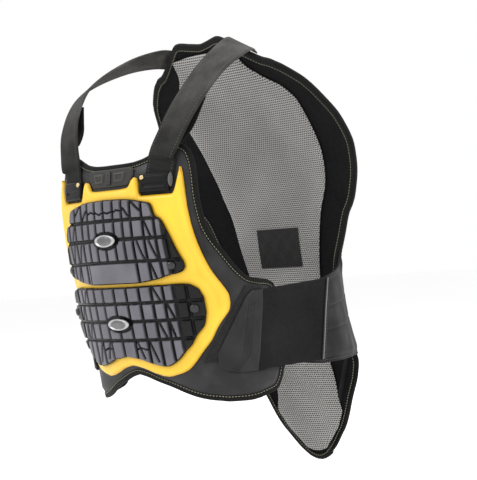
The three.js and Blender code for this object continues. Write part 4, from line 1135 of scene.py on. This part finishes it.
def tab_edge(rows, z):
    return WING_REACH * read(rows, -z / BODY_HEIGHT)


def patch_place(u, v):
    z = -BODY_HEIGHT * between(PATCH_ENDS, v)
    front = WING_REACH * between(PATCH_FRONT, v)
    return front + (tab_edge(TAB_BACK, z) - front) * (u + 1) / 2, z


def tab_place(u, v):
    z = -BODY_HEIGHT * between(TAB_ENDS, v)
    front = tab_edge(TAB_FRONT, z)
    return front + (tab_edge(TAB_BACK, z) - front) * (u + 1) / 2, z


def cut_area(place):
    """Area of a piece's flat cut."""
    edge = outline(place)
    after = np.roll(edge, -1, axis=0)
    return float(abs(np.sum(edge[:, 0] * after[:, 1] - edge[:, 1] * after[:, 0])) / 2)


pile, u, v = cut_flat("loop_pile_left", 36, 56)
s, z = patch_place(u, v)
bend(pile, over(torso, s, z, PATCH_LOW), s, z)
rng = np.random.default_rng(4)
thicken(pile, PATCH_WALL, 0.72 + 0.28 * rng.random(len(s)))
smooth(pile, 60)
pile_black, tree, shader = finish("loop_pile", (0.008, 0.008, 0.008), 0.95)
shader.inputs["Sheen Weight"].default_value = 0.08
shader.inputs["Specular IOR Level"].default_value = 0.1
fuzz = place_effect(tree, pebble, Size=0.0011)
two_tones(tree, shader, fuzz["Height"], (0.005, 0.005, 0.005), (0.03, 0.03, 0.03))
rougher(tree, shader, fuzz["Rubbed"], 0.85, 1.0)
raised(tree, shader, fuzz["Height"], 0.0006)
for piece in both_sides(pile, "loop_patch", pile_black):
    cut_area(patch_place)

tab, u, v = cut_flat("belt_end_left", 70, 110)
s, z = tab_place(u, v)
tab_outline = evenly(outline(tab_place, 60), 0.003)
rim = from_edge(np.stack([s, z], axis=-1), tab_outline)
behind = tab_edge(TAB_BACK, z) - s
ahead = s - tab_edge(TAB_FRONT, z)
fan = behind - 0.014 - 0.012 * eased(-z / BODY_HEIGHT, 0.715, 0.758)
lines = sum(np.exp(-((fan - step) / 0.0009) ** 2) for step in (0, 0.0038, 0.0076))
sunk_area = np.minimum(np.minimum(ahead - 0.0045, 0.0145 - ahead), np.minimum(z + 0.487, -0.402 - z))
border = eased(sunk_area, 0, 0.0012) * 0.5 + np.exp(-((sunk_area + 0.0018) / 0.0007) ** 2) * 0.6
bend(tab, over(torso, s, z, TAB_LOW), s, z)
pressed = 0.34 * lines * eased(rim, 0.001, 0.003)
thicken(tab, TAB_WALL, 0.55 + 0.45 * eased(rim, 0, 0.0022) - pressed - 0.3 * border)
smooth(tab, 50)
tab_grey = coated(
    "tab_rubber", (0.012, 0.012, 0.0125), (0.023, 0.023, 0.024), 0.5, 0.0009, 0.00006, shine=0.22,
)
both_sides(tab, "belt_tab", tab_grey)

# Elastic and trim. A wide ribbed elastic band runs back from each tab, and a grey tape is sewn
# over its back end.
ELASTIC_LOW = 0.0089
ELASTIC_WALL = 0.002
ELASTIC_FOOT = (0.757, 0.7545)
ELASTIC_TOP = (0.58, 0.568)
ELASTIC_BACK = (1.306, 1.476)
RIB_PITCH = 0.0031
TAB_CLEAR = 0.0006
TRIM_LOW = 0.0112
TRIM_WALL = 0.0009
TRIM_WIDTH = 0.008
TRIM_INSET = 0.0003


def elastic_place(u, v):
    share = (u + 1) / 2
    z = -BODY_HEIGHT * between((between(ELASTIC_FOOT, share), between(ELASTIC_TOP, share)), v)
    ends = (tab_edge(TAB_BACK, z) + TAB_CLEAR, WING_REACH * between(ELASTIC_BACK, v))
    return between(ends, share), z


band, u, v = cut_flat("elastic_band_left", 290, 22)
s, z = elastic_place(u, v)
bend(band, over(torso, s, z, ELASTIC_LOW), s, z)
hem = eased(np.minimum(v, 1 - v) * 0.12, 0.0022, 0.0034)
ribs = 0.8 - 0.26 * hem * np.abs(np.cos(math.pi * s / RIB_PITCH))
thicken(band, ELASTIC_WALL, ribs + 0.1 * (1 - hem))
smooth(band, 60)
elastic_black = cloth(
    "ribbed_elastic", (0.004, 0.004, 0.004), (0.014, 0.014, 0.014), 0.0008, 0.8, 0.04, shine=0.09,
)
for piece, pad in zip(both_sides(band, "belt", elastic_black), ("left", "right")):
    cut_area(elastic_place)

tape, u, v = cut_flat("trim_band_left", 24, 80)
s, z = elastic_place(0 * u + 1, v)
s = s - TRIM_INSET - (1 - u) / 2 * TRIM_WIDTH
bend(tape, over(torso, s, z, TRIM_LOW), s, z)
cord = 1 - eased(np.abs(u), 0.22, 0.34)
thicken(tape, TRIM_WALL, 0.5 + 0.5 * cord)
smooth(tape, 60)
paint(tape, cord)
tape_grey, tree, shader = finish("grey_tape", (0.16, 0.16, 0.155), 0.7)
shader.inputs["Specular IOR Level"].default_value = 0.2
threads = place_effect(tree, weave, Thread=0.0009)["Height"]
two_tones(tree, shader, painted(tree), (0.012, 0.012, 0.012), (0.19, 0.19, 0.185))
rougher(tree, shader, threads, 0.6, 0.8)
raised(tree, shader, threads, 0.0003)
both_sides(tape, "belt_trim", tape_grey)
rise = np.linspace(0.02, 0.98, 60)
for number, inset in enumerate((0.0014, 0.0066)):
    s, z = elastic_place(1 + 0 * rise, rise)
    s = s - TRIM_INSET - inset
    points, face = over(torso, s, z, TRIM_LOW + 0.001), outward(torso, s, z)
    for side, sign in (("left", 1), ("right", -1)):
        flip = np.array([sign, 1, 1])
        sew(f"trim_stitches_{number}_{side}", points * flip, face * flip, thread_dark, closed=False)

# Lumbar wings. Padded pieces from the bound edge of the back round to the elastic, quilted with two
# lines of stitching, creased where they turn.
LUMBAR_TOP = [(0, 0.587), (0.1, 0.582), (0.3, 0.578), (0.5, 0.567), (0.75, 0.55), (1, 0.51)]
LUMBAR_FOOT = [(0, 0.748), (0.1, 0.759), (0.3, 0.7645), (0.5, 0.7645), (0.75, 0.7645), (1, 0.7645)]
LUMBAR_LOW = 0.0013
LUMBAR_WALL = 0.007
LUMBAR_START = 1.1 * WING_REACH
SEAM_REACH = 0.0045


def lumbar_spots(along, v, height):
    """Points of the left wing: along runs from its front end to the back panel."""
    low, high = read(LUMBAR_FOOT, along), read(LUMBAR_TOP, along)
    z = -BODY_HEIGHT * (low + (high - low) * v)
    ring = ring_at(z)
    edge = BACK_HALF_WIDTH * read(BACK_WIDTHS, -z / BODY_HEIGHT) + SEAM_REACH
    cosine = (edge - ring[3] + BACK_CORNER_RADIUS) / BACK_CORNER_RADIUS
    end = ring[7] + BACK_CORNER_RADIUS * np.arccos(np.clip(cosine, -1, 1))
    s = LUMBAR_START + (end - LUMBAR_START) * along
    share = eased(along, 0.5, 1)[:, None]
    on_ring = over(torso, s, z, height)
    on_back = over(back, -edge, z, height)
    return on_ring * (1 - share) + on_back * share, s, z


wing, u, v = cut_flat("lumbar_pad_left", 80, 60)
along = (u + 1) / 2
points, s, z = lumbar_spots(along, v, LUMBAR_LOW)
tall = BODY_HEIGHT * (read(LUMBAR_FOOT, along) - read(LUMBAR_TOP, along))
rim = np.minimum(np.minimum(along, 1 - along) * 0.2, np.minimum(v, 1 - v) * tall)
quilt = np.exp(-((v - 0.37 - 0.03 * along) / 0.013) ** 2)
quilt = quilt + np.exp(-((v - 0.68 + 0.05 * along) / 0.013) ** 2)
crease = 0.12 * np.sin(along * 31 + 3 * v) * np.sin(v * 9 + along * 4) * eased(along, 0.45, 0.75)
share = 0.5 + 0.5 * eased(rim, 0.003, 0.014)
bend(wing, points, s, z)
quilted = 1 - 0.3 * quilt * eased(rim, 0.002, 0.008)
creased = np.abs(crease) * eased(rim, 0.005, 0.02)
thicken(wing, LUMBAR_WALL, share * (quilted - creased))
round_edges(wing, 0.001, 2)
wing_grey = coated(
    "wing_laminate", (0.009, 0.009, 0.0095), (0.021, 0.021, 0.022), 0.6, 0.0012, 0.0001, shine=0.18,
)
for piece in both_sides(wing, "lumbar_wing", wing_grey):
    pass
run = np.linspace(0.2, 0.97, 90)
for number, rise in enumerate((0.035, 0.965)):
    points, s, z = lumbar_spots(run, rise + 0 * run, LUMBAR_LOW + LUMBAR_WALL * 0.64)
    near = lumbar_spots(run, rise + 0 * run, LUMBAR_LOW)[0]
    for side, sign in (("left", 1), ("right", -1)):
        flip = np.array([sign, 1, 1])
        name = f"wing_stitches_{number}_{side}"
        sew(name, points * flip, (points - near) * flip, thread_dark, closed=False)

# Floor, light and camera. A plain pale floor below the tail, soft lamps on both sides and above,
# and the camera at the photograph's angle.
bpy.ops.object.select_all(action="DESELECT")
FLOOR_DOWN = -0.74
bpy.ops.mesh.primitive_circle_add(vertices=64, radius=14, fill_type="NGON", location=(0, 0, FLOOR_DOWN))
floor = bpy.context.object
floor.name = "floor"
bpy.ops.object.transform_apply(location=True)
pale, tree, shader = finish("pale_floor", (0.97, 0.97, 0.97), 0.95)
spread = tree.nodes.new("ShaderNodeTexCoord")
tone = mottling(tree, spread.outputs["Object"], 0.6, 0.0, 1.0, 1.0)
two_tones(tree, shader, tone, (0.965, 0.965, 0.965), (0.98, 0.98, 0.98))
floor.data.materials.append(pale)

sky = bpy.data.worlds.new("studio")
sky.use_nodes = True
sky.node_tree.nodes["Background"].inputs["Color"].default_value = (1, 1, 1, 1)
sky.node_tree.nodes["Background"].inputs["Strength"].default_value = 1.0
bpy.context.scene.world = sky
bpy.context.scene.view_settings.view_transform = "Standard"

BODY_MIDDLE = Vector((0, 0, -0.33))
LAMPS = [
    ("key", (-1.2, -2.3, 1.5), 1.6, 46),
    ("side", (2.6, -0.6, 0.9), 1.4, 26),
    ("top", (0.3, 0.2, 2.4), 1.6, 24),
    ("behind", (-1.4, 2.2, 0.6), 1.4, 14),
]
for name, place, size, power in LAMPS:
    lamp = bpy.data.lights.new(name, "AREA")
    lamp.size = size
    lamp.energy = power
    stand = bpy.data.objects.new(name, lamp)
    bpy.context.collection.objects.link(stand)
    stand.location = place
    aim = BODY_MIDDLE - Vector(place)
    stand.rotation_euler = aim.to_track_quat("-Z", "Y").to_euler()

LENS_LENGTH = 119.4
LENS_SHIFT = (0.0635, 0.0104)
VIEW_SIDE = math.radians(46)
VIEW_ROLL = math.radians(4)
VIEW_DISTANCE = 2.5
AIM = Vector((0, 0, -0.314))
eye = bpy.data.cameras.new("camera")
eye.lens = LENS_LENGTH
eye.sensor_width = 36
eye.sensor_fit = "AUTO"
eye.shift_x, eye.shift_y = LENS_SHIFT
camera = bpy.data.objects.new("camera", eye)
bpy.context.collection.objects.link(camera)
camera.location = AIM + Vector((math.sin(VIEW_SIDE), -math.cos(VIEW_SIDE), 0)) * VIEW_DISTANCE
look = (AIM - camera.location).to_track_quat("-Z", "Y")
camera.rotation_euler = (look @ Quaternion((0, 0, 1), -VIEW_ROLL)).to_euler()
bpy.context.scene.camera = camera
